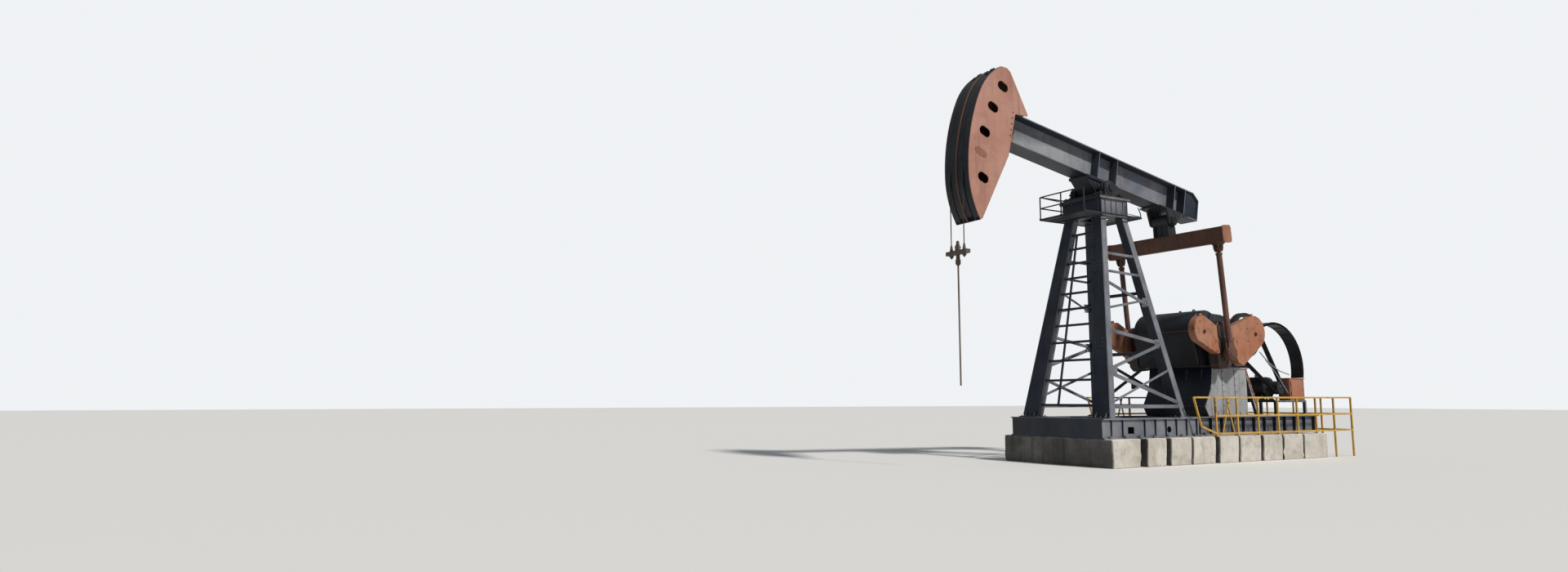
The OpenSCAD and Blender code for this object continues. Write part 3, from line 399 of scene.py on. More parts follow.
def spinProfile(bm, profile, centre, steps=64, sweep=360.0, startAngle=0.0):
    # a profile of (radius, y) points from the centre, turned round an axis along y
    verts = [bm.verts.new((r, y, 0)) for r, y in profile]
    edges = [bm.edges.new((verts[i - 1], verts[i])) for i in range(len(verts))]
    bmesh.ops.transform(bm, matrix=place(centre, -startAngle), verts=verts)
    whole = sweep >= 360
    count = len(bm.verts)
    made = bmesh.ops.spin(bm, geom=verts + edges, cent=centre, axis=nearward,
                          angle=math.radians(sweep), steps=steps, use_merge=whole,
                          use_duplicate=False)
    if not whole:
        bm.faces.new(verts)
        bm.faces.new(vertsOf(made["geom_last"]))
    elif min(r for r, y in profile) == 0:
        # the points on the axis become one, and the faces without area go
        bm.verts.ensure_lookup_table()
        onAxis = [vert for vert in bm.verts[count:] + verts if vert.is_valid
                  and (vert.co.xz - Vector(centre).xz).length < 1e-6]
        bmesh.ops.remove_doubles(bm, verts=list(set(onAxis)), dist=1e-6)


def addEye(bm, at, inner, outer, half=0.014):
    spinProfile(bm, [(inner, -half), (outer, -half), (outer, half), (inner, half)], at, 20)


def addTube(bm, points, radius, sides=12, closed=False):
    curve = bpy.data.curves.new("route", "CURVE")
    curve.dimensions = "3D"
    curve.bevel_depth = radius
    curve.bevel_resolution = max(1, sides // 4 - 1)
    curve.use_fill_caps = not closed
    spline = curve.splines.new("POLY")
    spline.points.add(len(points) - 1)
    for item, point in zip(spline.points, points):
        item.co = (*point, 1)
    spline.use_cyclic_u = closed
    holder = bpy.data.objects.new("route", curve)
    mesh = bpy.data.meshes.new_from_object(holder)
    bm.from_mesh(mesh)
    bpy.data.objects.remove(holder)
    bpy.data.curves.remove(curve)
    bpy.data.meshes.remove(mesh)


def bent(points, radius, steps=5):
    # a route with its corners rounded
    route = [Vector(points[0])]
    for corner in zip(points, points[1:], points[2:]):
        before, at, after = (Vector(point) for point in corner)
        a = at + (before - at).normalized() * radius
        b = at + (after - at).normalized() * radius
        for k in range(steps + 1):
            t = k / steps
            route.append(a.lerp(at, t).lerp(at.lerp(b, t), t))
    return route + [Vector(points[-1])]


def flipSide(bm, verts=None):
    bmesh.ops.scale(bm, vec=(1, -1, 1), verts=verts or bm.verts)


def mirrorAcross(bm):
    made = bmesh.ops.duplicate(bm, geom=bm.verts[:] + bm.edges[:] + bm.faces[:])
    flipSide(bm, vertsOf(made["geom"]))


def chamfer(bm, width):
    wear = bm.faces.layers.float.get("wear") or bm.faces.layers.float.new("wear")
    sharp = [edge for edge in bm.edges if len(edge.link_faces) == 2
             and edge.calc_face_angle(0) > math.radians(edgeCut["bend"])]
    if sharp and width:
        made = bmesh.ops.bevel(bm, geom=sharp, offset=width, offset_type="OFFSET", segments=1,
                               profile=0.5, affect="EDGES", clamp_overlap=True, material=-1)
        for face in made["faces"]:
            face[wear] = 1.0


def finishPiece(bm, name, slot, bevel=0.002, front=None, move=None, instead=False):
    # a piece rides with the node that its name begins with, or stands instead of it
    bmesh.ops.recalc_face_normals(bm, faces=bm.faces)
    chamfer(bm, bevel)
    if move:
        bmesh.ops.transform(bm, matrix=move, verts=bm.verts)
    bm.normal_update()
    if front:
        # faces that look forward or down get a second, darker finish: painted shade
        for face in bm.faces:
            if face.normal.x < -0.6 or face.normal.z < -0.72:
                face.material_index = 1
    mesh = bpy.data.meshes.new(name)
    bm.to_mesh(mesh)
    bm.free()
    mesh.shade_smooth()
    mesh.set_sharp_from_angle(angle=math.radians(edgeCut["smooth"]))
    mesh.materials.append(paints[slot])
    if front:
        mesh.materials.append(paints[front])
    piece = addObject(name, mesh)
    node = name.split(".")[0]
    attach(piece, bodyOf[node])
    if instead:
        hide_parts(node)


def makePiece(parts, name, slot, *settings, flip=False, **more):
    bm = bmesh.new()
    parts(bm)
    if flip:
        flipSide(bm)
    finishPiece(bm, name, slot, *settings, **more)


def dressNode(node, bevel=0.005, slot=None, front=None, add=None, flip=False):
    # the CAD solid with its edges taken off, and what is added to it
    bm = bmesh.new()
    bm.from_mesh(frame["nodes"][node].data)
    bmesh.ops.remove_doubles(bm, verts=bm.verts, dist=1e-5)
    bmesh.ops.dissolve_limit(bm, angle_limit=math.radians(0.3), verts=bm.verts, edges=bm.edges)
    if flip:
        flipSide(bm)
    if add:
        add(bm)
    if flip:
        flipSide(bm)
    finishPiece(bm, node + ".dressed", slot or slotOf[node], bevel, front, instead=True)


# sizes of the CAD model that many pieces share, in metres
cad = {
    "saddle": 7.4, "tilt": 10.56, "skidTop": 1.2, "baseTop": 0.7, "shaftX": 3.253,
    "shaftZ": 3.53684, "lean": 5.40448, "tailX": 2.93936, "tailZ": 6.85204, "pitmanY": 1.66,
    "sheaveX": 5.153, "motorX": 6.643, "driveY": -0.86,
}


def shaftShare(share):
    # a height between the skid and the crank shaft, to the nearest millimetre
    return round(along(cad["skidTop"], cad["shaftZ"], share), 3)


cad["motorZ"] = shaftShare(0.355)
onBeam = place((0, 0, cad["saddle"]), cad["tilt"])
onTail = place((cad["tailX"], 0, cad["tailZ"]), -cad["lean"])
onCrank = place((cad["shaftX"], 0, cad["shaftZ"]), -cad["lean"])


# foundation and skids
def wornBlocks(bm):
    random.seed(4)
    long = [edge for edge in bm.edges if edge.calc_length() > 0.5]
    bmesh.ops.subdivide_edges(bm, edges=long, cuts=6, use_grid_fill=False)
    for vert in bm.verts:
        if not 0.2 < vert.co.z < 0.69:
            vert.co.x += random.uniform(-0.012, 0.0) * (1 if vert.co.x > 0 else -1)
            vert.co.y += random.uniform(-0.014, 0.0) * (1 if vert.co.y > 0 else -1)


# the foundation's faces that look forward or down get painted shade
dressNode("foundation", 0.02, front="oily_concrete", add=wornBlocks)

# ribs and clips by count, first and pitch; no rib where the skid has a hole
skids = {
    "skid_front": {"x": -1.76, "y": -1.61, "ribs": (9, 0.3, 0.41), "rib": (0.005, 0.06, 0.02),
                   "holes": ((1.04, 0.16), (2.5, 0.12)), "clips": (7, 0.2, 0.54),
                   "clip": (0.05, 0.02), "bolt": -0.012, "endRibs": (-1.1, -0.45, 0.45, 1.1)},
    "skid_rear": {"x": 1.95, "y": -1.08, "ribs": (13, 0.25, 0.49), "rib": (0.006, 0.108, 0.03),
                  "holes": (), "clips": (11, 0.3, 0.58), "clip": (0.06, 0.022), "bolt": 0.01,
                  "endRibs": ()},
}


def skidParts(bm, skid):
    top, low = cad["skidTop"] - 0.03, cad["baseTop"] + 0.03
    x, y = skid["x"], skid["y"]
    outer, inner, foot = skid["rib"]
    for at in spaced(*skid["ribs"]):
        if all(abs(at - hole) >= half for hole, half in skid["holes"]):
            addPrism(bm, [(y + outer, top), (y + inner, top), (y + inner, low), (y + foot, low)],
                     x + at, x + at + 0.012, "x")
    half, thick = skid["clip"]
    for at in spaced(*skid["clips"]):
        addBox(bm, (x + at - half, y - 0.03, low), (x + at + half, y + half, low + thick))
        addBolt(bm, (x + at, y + skid["bolt"], low + 0.02), upward, 0.024)
    mirrorAcross(bm)
    for y in skid["endRibs"]:
        addBox(bm, (x - 0.002, y - 0.01, low), (x + 0.1, y + 0.01, top))


for node, skid in skids.items():
    makePiece(lambda bm: skidParts(bm, skid), node + ".fittings", "tower_paint", front=paintedShade)
    dressNode(node, 0.004, front=paintedShade)
print("foundation and skids are made")

# tower: places and widths at the foot and at the top
tower = {"front": (-1.4, -0.43), "rear": (1.52, 0.56), "y": (-1.51, -0.65), "z": (1.2, 6.6),
         "frontWide": (0.57, 0.34), "rearWide": (0.30, 0.24), "depth": 0.19, "lip": 0.035,
         "plate": 0.024, "splices": (0.36, 0.74)}


def towerPoint(share, rear, inset=0.0, deep=0.0):
    # a point of the near corner: inset runs in from the outer side, deep in from the face
    x = along(*tower["rear"], share) - deep if rear else along(*tower["front"], share) + deep
    return Vector((x, along(*tower["y"], share) + inset, along(*tower["z"], share)))


def legParts(bm, rear):
    foot, plate, lip = towerPoint(0, rear), tower["plate"], tower["lip"]
    wide, wideTop = tower["rearWide" if rear else "frontWide"]
    back = -1 if rear else 1
    x0, x1 = sorted((foot.x - back * 0.09, foot.x + back * (tower["depth"] + 0.12)))
    addBox(bm, (x0, foot.y - 0.06, foot.z), (x1, foot.y + wide + 0.06, foot.z + plate))
    boltGrid(bm, (x0 + 0.05, x1 - 0.05),
             [along(foot.y - 0.02, foot.y + wide + 0.02, share) for share in (0.04, 0.5, 0.96)],
             (foot.z + plate,), upward, 0.02)
    for share in (0.22, 0.78):
        y = foot.y + wide * share
        addPrism(bm, [(foot.x + back * u, foot.z + v) for u, v in
                      ((-0.075, plate), (0.03, plate), (0.06, 0.24))], y - 0.008, y + 0.008)
    # raised lips down both edges of the wide plate
    for inset, insetTop in ((0.006, 0.006), (wide - lip - 0.006, wideTop - lip - 0.006)):
        addBar(bm, towerPoint(0.01, rear, inset + lip / 2),
               towerPoint(0.992, rear, insetTop + lip / 2), 0.03, lip)
    # splice plates with bolts
    for share in tower["splices"]:
        w = along(wide, wideTop, share)
        addBar(bm, towerPoint(share - 0.028, rear, w / 2, -0.004),
               towerPoint(share + 0.028, rear, w / 2, -0.004), 0.026, w * 0.72)
        for u, v in itertools.product((0.26, 0.74), (-0.019, 0.0, 0.019)):
            addBolt(bm, towerPoint(share + v, rear, w * u, -0.016), (-back, 0, 0.18), 0.013)


for side, flip in sides:
    for name, rear in (("leg_front_" + side, False), ("leg_rear_" + side, True)):
        makePiece(lambda bm: legParts(bm, rear), name + ".fittings", "tower_paint", front=paintedShade,
                  flip=flip)
        dressNode(name, 0.008, front=paintedShade)

# bars by their shares of the height at the front and the rear leg, and their scale
lattice = {"wide": 0.09, "flange": 0.05, "thick": 0.011,
           "bars": ((0.055, 0.055, 1), (0.42, 0.363, 1), (0.237, 0.356, 1), (0.211, 0.074, 1),
                    (0.078, 0.23, 0.7), (0.807, 0.8, 0.75), (0.715, 0.704, 0.75),
                    (0.66, 0.552, 0.75), (0.53, 0.581, 0.7)),
           "gussets": ((0.36, True), (0.224, False), (0.567, True)),
           "rear": (0.055, 0.32, 0.62), "rungs": (1.53, 6.18, 11)}


def latticeBar(bm, a, b, width, normal, lift, reaches):
    # an angle with two bolts at each end
    addBar(bm, a, b, width, lattice["flange"], -normal, lattice["thick"])
    for at, way in ((a, b), (b, a)):
        for reach in reaches:
            addBolt(bm, at + (way - at).normalized() * reach + lift, normal, 0.013)


def sideLattice(bm):
    normal = Vector((0, -1, -0.159)).normalized()
    for front, rear, scale in lattice["bars"]:
        a, b = (towerPoint(share, end, 0.036, tower["depth"] - 0.03)
                for share, end in ((front, False), (rear, True)))
        latticeBar(bm, a, b, lattice["wide"] * scale, normal, normal * 0.026, (0.09, 0.17))
    for share, rear in lattice["gussets"]:
        at = towerPoint(share, rear, 0.03, tower["depth"] + 0.06)
        tip = Vector((0, 0.012, -0.12))
        addBar(bm, at + tip, at - tip, 0.22, 0.014, -normal)
        for u, v in itertools.product((-0.07, 0.07), repeat=2):
            addBolt(bm, at + Vector((u, 0, v)) + normal * 0.006, normal, 0.013)


for side, flip in sides:
    makePiece(sideLattice, "bracing_" + side + ".angles", "tower_paint", 0.0015, instead=True,
              flip=flip)


def rearLattice(bm):
    corner = [towerPoint(share, True, 0.06, 0.075) for share in lattice["rear"]]
    pairs = [(c, Vector((c.x, -c.y, c.z)), 0.09) for c in corner]
    low, high = corner[:2]
    pairs += [(Vector((low.x, -s * low.y, low.z)),
               Vector((high.x + 0.012 * s, s * high.y, high.z)), 0.075) for s in (-1, 1)]
    for a, b, wide in pairs:
        latticeBar(bm, a, b, wide, Vector((1, 0, 0.178)), Vector((0.026, 0, 0)), (0.12, 0.2))
    addBox(bm, (1.38, -0.12, 1.96), (1.396, 0.12, 2.2))


def rungClips(bm):
    first, last, count = lattice["rungs"]
    for i in range(count):
        z = along(first, last, (i / (count - 1)) ** 0.85)
        share = (z - tower["z"][0]) / (tower["z"][1] - tower["z"][0])
        at = towerPoint(share, False, along(*tower["frontWide"], share) - 0.02, 0.03)
        for y in (at.y, -at.y):
            addBox(bm, (at.x - 0.012, y - 0.045, z - 0.05), (at.x, y + 0.045, z + 0.05))
            addBolt(bm, (at.x - 0.012, y, z), (-1, 0, 0.18), 0.014)


makePiece(rearLattice, "bracing_rear.angles", "tower_paint", 0.0015, paintedShade, instead=True)
dressNode("front_rungs", 0.006, front=paintedShade)
makePiece(rungClips, "front_rungs.clips", "tower_paint", front=paintedShade)
print("tower legs and lattices are made")

# cap, platform and saddle bearings
cap = {"x0": -0.45, "x1": 0.58, "y": -0.67, "low": 6.6, "high": 7.07, "plateTop": 7.12,
       "rib": 0.022, "proud": 0.02, "ribs": (-0.45, -0.30, -0.06, 0.14, 0.40, 0.558),
       "bolts": (-0.48, -0.3, 0.0, 0.3, 0.6), "endRib": 0.57}


def capParts(bm):
    x0, x1, y, low, high, rib, proud = pick(cap, "x0 x1 y low high rib proud")
    for x in cap["ribs"]:
        addBox(bm, (x, y - proud, low), (x + rib, y, high))
    for z in (low, high - 0.03):
        addBox(bm, (x0, y - proud, z), (x1, y, z + 0.03))
    boltGrid(bm, cap["bolts"], (y - proud,), (cap["plateTop"],), upward, 0.018)
    mirrorAcross(bm)
    for y in (-cap["endRib"], cap["endRib"]):
        for x in (x0 - proud, x1):
            addBox(bm, (x, y - rib / 2, low), (x + proud, y + rib / 2, high))
    # the front's raised panel
    addBox(bm, (x0 - 0.012, -0.5, low + 0.07), (x0, 0.5, high - 0.07))


makePiece(capParts, "tower_cap.ribs", "tower_paint", front=paintedShade)
dressNode("tower_cap", 0.006, front=paintedShade)

deck = {"x0": -1.24, "x1": 1.01, "y": 0.8, "z": 6.6, "thick": 0.05, "slat": 0.005,
        "pitch": 0.045, "rodPitch": 0.1, "edge": 0.012}


def grating(bm):
    low, high, y, edge = deck["z"], deck["z"] + deck["thick"], deck["y"], deck["edge"]
    for start in (-y, y - edge):
        addBox(bm, (deck["x0"], start, low), (deck["x1"], start + edge, high))
    for x in (deck["x0"], deck["x1"] - edge):
        addBox(bm, (x, -y, low), (x + edge, y, high))
    for x0, x1 in ((deck["x0"], cap["x0"] - 0.022), (cap["x1"] + 0.022, deck["x1"])):
        count = int(2 * y / deck["pitch"])
        for k in range(1, count):
            at, half = along(-y, y, k / count), deck["slat"] / 2
            addBox(bm, (x0, at - half, low + 0.012), (x1, at + half, high - 0.002))
        rods = int((x1 - x0) / deck["rodPitch"])
        for k in range(1, rods):
            x = along(x0, x1, k / rods)
            addBox(bm, (x - 0.004, -y, high - 0.012), (x + 0.004, y, high - 0.004))
    for x in (deck["x0"] + 0.06, cap["x0"] - 0.06, cap["x1"] + 0.05, deck["x1"] - 0.06):
        addBox(bm, (x - 0.025, -y + 0.01, low), (x + 0.025, y - 0.01, low + 0.011))


makePiece(grating, "platform_floor.grating", "dark_metal", 0, instead=True)

rail = {"radius": 0.019, "high": 0.63, "x0": -1.219, "x1": 0.989, "y": 0.779}


def platformRail(bm):
    r, high, x0, x1, y = pick(rail, "radius high x0 x1 y")
    z = deck["z"] + deck["thick"]
    top, middle = z + high - r, z + high / 2 - r
    addTube(bm, bent([(x0, -y, middle), (x0, y, middle), (x1, y, middle)], 0.06), r)
    addTube(bm, bent([(x0, -y, z + 0.02), (x0, -y, top), (x0, y, top), (x1, y, top),
                      (x1, y, z + 0.02)], 0.06), r)
    for x, side in ((x0, y), ((x0 + x1) / 2, y), (x1, y), (x0, -y), (x0, 0.02)):
        addTube(bm, [(x, side, z - 0.04), (x, side, top)], r * 0.96)
        addBox(bm, (x - 0.04, side - 0.02, z), (x + 0.04, side + 0.02, z + 0.01))
    near = along(x0, x1, 0.72)
    for route, share in (
            ([(x0, y, top), (x0, -0.1, middle)], 0.7),
            ([(near, -y, z - 0.04), (near, -y, z + high * 0.44)], 0.75),
            (bent([(x1, -y, z - 0.04), (x1, -y, z + 0.1), (x1 - 0.07, -y + 0.02, z + 0.27)],
                  0.05), 0.75),
            ([(x1 - 0.5, -y + 0.01, z + 0.05), (x1 - 0.01, -y + 0.01, z + 0.012)], 0.55)):
        addTube(bm, route, r * share)


makePiece(platformRail, "platform_rail.tubes", "dark_metal", 0, instead=True)

bearing = {"y0": -0.62, "y1": -0.45, "base": 7.12, "bolt": 0.275, "stud": 0.222, "block": 0.235}
chair = {"front": -0.47, "rear": 0.5, "inner": -0.36, "outer": -0.69, "top": 7.25, "wall": 0.03,
         "gap": 0.34, "bolts": (-0.39, 0.4)}


def chairParts(bm):
    # boxes that carry the bearings on the cap, with ribs and bolts down their sides
    front, rear, inner, outer, top, wall = pick(chair, "front rear inner outer top wall")
    low = cap["plateTop"]
    addBox(bm, (front, outer, low), (rear, inner, low + 0.035))
    for x0, x1 in ((front + wall, -chair["gap"]), (chair["gap"], rear - wall)):
        addBox(bm, (x0, outer + 0.03, low), (x1, inner - 0.02, top))
    for x in chair["bolts"]:
        boltGrid(bm, (x,), (-0.61, -0.46), (top,), upward, 0.022)
        addBox(bm, (x - 0.008, outer + 0.006, low), (x + 0.008, -0.64, top - 0.02))
    mirrorAcross(bm)
    for x in (front, rear - wall):
        addBox(bm, (x, inner, low), (x + wall, -inner, low + 0.1))


def saddleBearingParts(bm):
    y0, y1, base, bolt, stud, block = pick(bearing, "y0 y1 base bolt stud block")
    z, middle, foot = cad["saddle"], (y0 + y1) / 2, base + 0.07
    for x in (-bolt, bolt):
        boltGrid(bm, (x,), (y0 + 0.03, y1 - 0.03), (foot,), upward, 0.02)
        addPrism(bm, [(x * 1.1, foot), (x * 0.7, foot), (x * 0.74, z - 0.02)], y0 + 0.075,
                 y0 + 0.095)
    addBox(bm, (-block, y0 - 0.012, z - 0.02), (block, y1 + 0.012, z + 0.02))
    for x in (-stud, stud):
        addRod(bm, (x, middle, z - 0.06), (x, middle, z + 0.09), 0.028, 16)
        addBolt(bm, (x, middle, z + 0.09), upward)
    spinProfile(bm, [(0.095, -0.001), (0.175, -0.001), (0.165, -0.02), (0.11, -0.026),
                     (0.095, -0.026)], (0, y0, z), 40)
    boltRing(bm, (0, y0 - 0.018, z), nearward, 0.142, 8, 0.009)
    mirrorAcross(bm)


makePiece(chairParts, "saddle_bearings.chairs", "dark_metal", bevel=0.003)
makePiece(saddleBearingParts, "saddle_bearings.fittings", "dark_metal")
dressNode("saddle_bearings", 0.006)
print("cap, platform and saddle bearings are made")

# pedestal and gear reducer
pedestal = {"x0": 3.333, "x1": 4.883, "y": -1.04, "low": 1.2, "high": 2.577,
            "straps": (3.80, 4.36), "hooks": (3.72, 4.1), "gussets": (3.5, 3.9, 4.5, 4.8),
            "frontBars": (-0.72, -0.24, 0.24, 0.72)}


def pedestalParts(bm):
    x0, x1, y, low, high = pick(pedestal, "x0 x1 y low high")
    addBox(bm, (x0 - 0.05, y - 0.03, high - 0.035), (x1 + 0.05, y + 0.02, high))
    addBox(bm, (x0 - 0.1, y - 0.035, low), (x1 + 0.05, y + 0.01, low + 0.03))
    for x in pedestal["straps"]:
        addBox(bm, (x - 0.05, y - 0.012, low + 0.03), (x + 0.05, y, high - 0.035))
        for at in (x - 0.03, x + 0.03):
            boltRow(bm, (at, y - 0.012, low + 0.12), (at, y - 0.012, high - 0.12), 7, nearward,
                    0.011)
    for x in pedestal["hooks"]:
        addPrism(bm, [(x + u, high + v) for u, v in
                      ((0, -0.01), (0.05, -0.01), (0.05, 0.14), (0.025, 0.17), (0, 0.14))],
                 y - 0.025, y + 0.02)
    for x in pedestal["gussets"]:
        addPrism(bm, [(y - 0.03, low + 0.03), (y, low + 0.03), (y, low + 0.17)], x, x + 0.016, "x")
    boltRow(bm, (3.36, y - 0.018, low + 0.03), (4.86, y - 0.018, low + 0.03), 6, upward, 0.017)
    mirrorAcross(bm)
    for y in pedestal["frontBars"]:
        addBar(bm, (3.22, y, low + 0.35), (3.317, y, high - 0.05), 0.016, 0.04)


# steps down the sloping edge of the pedestal, and the bar beside them
strip = {"x": 4.863, "z": 2.35, "step": (0.1, -0.22), "count": 5, "wide": 0.028, "high": 0.17,
         "y": (-1.06, -1.036), "bar": ((4.86, -1.052, 2.56), (5.39, -1.052, 1.22))}


def edgeStrip(bm):
    y0, y1 = strip["y"]
    for k in range(strip["count"]):
        x, z = (strip[key] + k * step for key, step in zip("xz", strip["step"]))
        addBox(bm, (x, y0, z), (x + strip["wide"], y1, z + strip["high"]))
    addBar(bm, *strip["bar"], 0.024, 0.02)


makePiece(pedestalParts, "pedestal.fittings", "pedestal_paint", front=paintedShade)
dressNode("pedestal", 0.012, front=paintedShade)
makePiece(edgeStrip, "pedestal.edge_strip", "worn_orange")

reducer = {"y": -0.98, "low": 2.577, "rail": 2.62, "second": 3.98, "rear": 5.493,
           "webs": (-145, -110, -70, -35, 35, 70, 110, 145), "flangeBolts": (10, -0.62, 0.185),
           "ribs": (-0.36, 0.02, 0.4, 0.78, 1.08), "eyes": ((-0.1, 0.57), (1.02, 0.46))}


def reducerParts(bm):
    x, z, y, foot = cad["shaftX"], cad["shaftZ"], reducer["y"], reducer["rail"]
    # the shaft's cover, the ribs round it, and the second bearing's cover
    spinProfile(bm, [(0.155, -0.112), (0.27, -0.112), (0.275, -0.13), (0.20, -0.145),
                     (0.155, -0.145)], (x, y, z), 48)
    boltRing(bm, (x, y - 0.13, z), nearward, 0.238, 10, 0.013)
    spinProfile(bm, [(0.28, 0), (0.42, 0), (0.40, -0.03), (0.30, -0.05), (0.28, -0.05)],
                (x, y, z), 48)
    boltRing(bm, (x, y - 0.035, z), nearward, 0.35, 12, 0.015, 0.2)
    for turn in reducer["webs"]:
        hub, way = Vector((x, y - 0.012, z)), aim(math.radians(turn))
        addBar(bm, hub + way * 0.40, hub + way * 0.61, 0.022, 0.03, nearward)
    spinProfile(bm, [(0.0, 0), (0.16, 0), (0.15, -0.03), (0.0, -0.035)],
                (reducer["second"], y, z), 40)
    boltRing(bm, (reducer["second"], y - 0.03, z), nearward, 0.12, 6, 0.012)
    # bolts down the split flange, clear of the shaft's cover
    for at in spaced(*reducer["flangeBolts"]):
        if abs(at) >= 0.3:
            addBolt(bm, (x + at, y - 0.035, z + 0.045), upward, 0.016)
            addBolt(bm, (x + at, y - 0.035, z - 0.045), downward, 0.016)
    # ribs of the lower half and feet
    for at in reducer["ribs"]:
        addPrism(bm, [(y - 0.055, z - 0.045), (y, z - 0.045), (y, foot), (y - 0.05, foot)],
                 x + at, x + at + 0.022, "x")
    addBox(bm, (x - 0.42, y - 0.055, reducer["low"]), (x + 1.14, y, foot))
    boltRow(bm, (x - 0.28, y - 0.028, foot), (x + 1.02, y - 0.028, foot), 5, upward, 0.02)
    for at in (x - 0.3, x + 1.0):
        addPrism(bm, [(at - 0.07, z + 0.045), (at + 0.07, z + 0.045), (at + 0.05, z + 0.17),
                      (at - 0.05, z + 0.17)], y - 0.045, y - 0.015)
    mirrorAcross(bm)
    # inspection cover, breather and lifting eyes on the top
    turn = place((x + 0.35, 0, z + 0.575), 3.2)
    addBox(bm, (-0.22, -0.34, -0.02), (0.22, 0.34, 0.014), turn)
    addBox(bm, (-0.18, -0.30, 0.0), (0.18, 0.30, 0.03), turn)
    for u, v in itertools.product((-0.2, 0.2), (-0.31, -0.1, 0.1, 0.31)):
        addBolt(bm, turn @ Vector((u, v, 0.012)), upward, 0.012)
    for low, high, radius, steps, tip in ((0.02, 0.1, 0.025, 16, None),
                                          (0.09, 0.15, 0.045, 20, 0.03)):
        addRod(bm, turn @ Vector((0.05, 0.12, low)), turn @ Vector((0.05, 0.12, high)), radius,
               steps, tip)
    for (u, v), y in itertools.product(reducer["eyes"], (-0.7, 0.7)):
        at, top = x + u, z + v
        addBox(bm, (at - 0.05, y - 0.012, top - 0.06), (at + 0.05, y + 0.012, top + 0.06))
        addEye(bm, (at, y, top + 0.06), 0.03, 0.055)
    # end cover of the narrow rear part, and the input shaft's cover
    addBox(bm, (reducer["rear"] - 0.002, -0.55, 2.75), (reducer["rear"] + 0.02, 0.55, 3.45))
    boltGrid(bm, (reducer["rear"] + 0.02,), (-0.5, -0.17, 0.17, 0.5), (2.8, 3.1, 3.4), rearward,
             0.014)
    boltGrid(bm, spaced(5, 4.52, 0.21), (0.76,), (z + 0.045,), upward, 0.014)
    spinProfile(bm, [(0.065, 0), (0.17, 0), (0.16, -0.02), (0.065, -0.025)],
                (cad["sheaveX"], -0.73, z), 40)
    boltRing(bm, (cad["sheaveX"], -0.745, z), nearward, 0.125, 8, 0.011)


makePiece(reducerParts, "gear_reducer.fittings", "dark_metal", bevel=0.003)
dressNode("gear_reducer", 0.012)
dressNode("input_shaft", 0.003)

# belt drive
drive = {"belt": 0.022, "depth": 0.017, "half": 0.1, "large": 0.64, "small": 0.19,
         "grooves": spaced(5, -0.064, 0.032)}
sheaveHub = Vector((cad["sheaveX"], cad["driveY"], cad["shaftZ"]))
motorHub = Vector((cad["motorX"], cad["driveY"], cad["motorZ"]))


def grooved(radius, inner):
    half = drive["half"]
    cuts = [(radius + depth, y + at) for y in drive["grooves"]
            for depth, at in ((0, -0.012), (-0.02, -0.007), (-0.02, 0.007), (0, 0.012))]
    return [(inner, -half), (radius, -half), *cuts, (radius, half), (inner, half)]


def largeSheave(bm):
    spinProfile(bm, grooved(drive["large"], 0.56), sheaveHub, 96)
    spinProfile(bm, [(0.0601, -0.1), (0.12, -0.1), (0.12, -0.05), (0.14, -0.04), (0.14, 0.04),
                     (0.12, 0.1), (0.0601, 0.1)], sheaveHub, 48)
    for k in range(6):
        turn = place(sheaveHub, -60 * k)
        outline = [(0.12, -0.055), (0.575, -0.032), (0.575, 0.032), (0.12, 0.055)]
        bmesh.ops.transform(bm, matrix=turn, verts=addPrism(bm, outline, -0.012, 0.012))
        addBar(bm, turn @ Vector((0.12, -0.03, 0)), turn @ Vector((0.57, -0.028, 0)), 0.022, 0.045)
    boltRing(bm, sheaveHub + Vector((0, -0.05, 0)), nearward, 0.095, 6, 0.011)


def motorSheave(bm):
    spinProfile(bm, grooved(drive["small"], 0.03), motorHub, 56)
    spinProfile(bm, [(0.0, -0.125), (0.05, -0.125), (0.075, -0.1), (0.09, -0.095),
                     (0.0, -0.095)], motorHub, 32)
    boltRing(bm, motorHub + Vector((0, -0.1, 0)), nearward, 0.13, 5, 0.011)


def beltLoops(bm):
    away = motorHub - sheaveHub
    turn = math.atan2(away.z, away.x)
    spread = math.acos((drive["large"] - drive["small"]) / away.length)
    arcs = ((sheaveHub, drive["large"], spread, 2 * math.pi - spread, 40),
            (motorHub, drive["small"], -spread, spread, 24))
    half, deep = drive["belt"] / 2, drive["depth"]
    for y in drive["grooves"]:
        edges = []
        for out, shift in ((0.0005, -half), (0.0005, half), (deep, half + 0.002),
                           (deep, -half - 0.002)):
            ring = [bm.verts.new(hub + aim(along(first, last, i / count) + turn) * (r + out)
                                 + Vector((0, y + shift, 0)))
                    for hub, r, first, last, count in arcs for i in range(count + 1)]
            edges.append([bm.edges.new((ring[i - 1], ring[i])) for i in range(len(ring))])
        for i in range(4):
            bmesh.ops.bridge_loops(bm, edges=edges[i] + edges[(i + 1) % 4])


makePiece(largeSheave, "large_sheave.spoked", "dark_metal", 0.0015, instead=True)
makePiece(motorSheave, "motor_sheave.grooved", "dark_metal", 0.0015, instead=True)
makePiece(beltLoops, "drive_belts.set", "belt_rubber", 0, instead=True)

hoop = {"at": Vector((6.37, cad["driveY"], shaftShare(0.6))), "radius": 1.34, "thick": 0.04,
        "half": 0.18, "from": -12, "to": 114, "bars": (7, 0, 17),   # angles in degrees
        "stays": (((5.66, -0.99, 3.06), (6.05, -0.99, 2.76), (6.55, -0.99, 2.52),
                   (7.05, -0.99, 2.41)),
                  ((5.92, -0.99, 2.84), (6.42, -0.99, 2.42), (6.94, -0.99, 1.86)))}


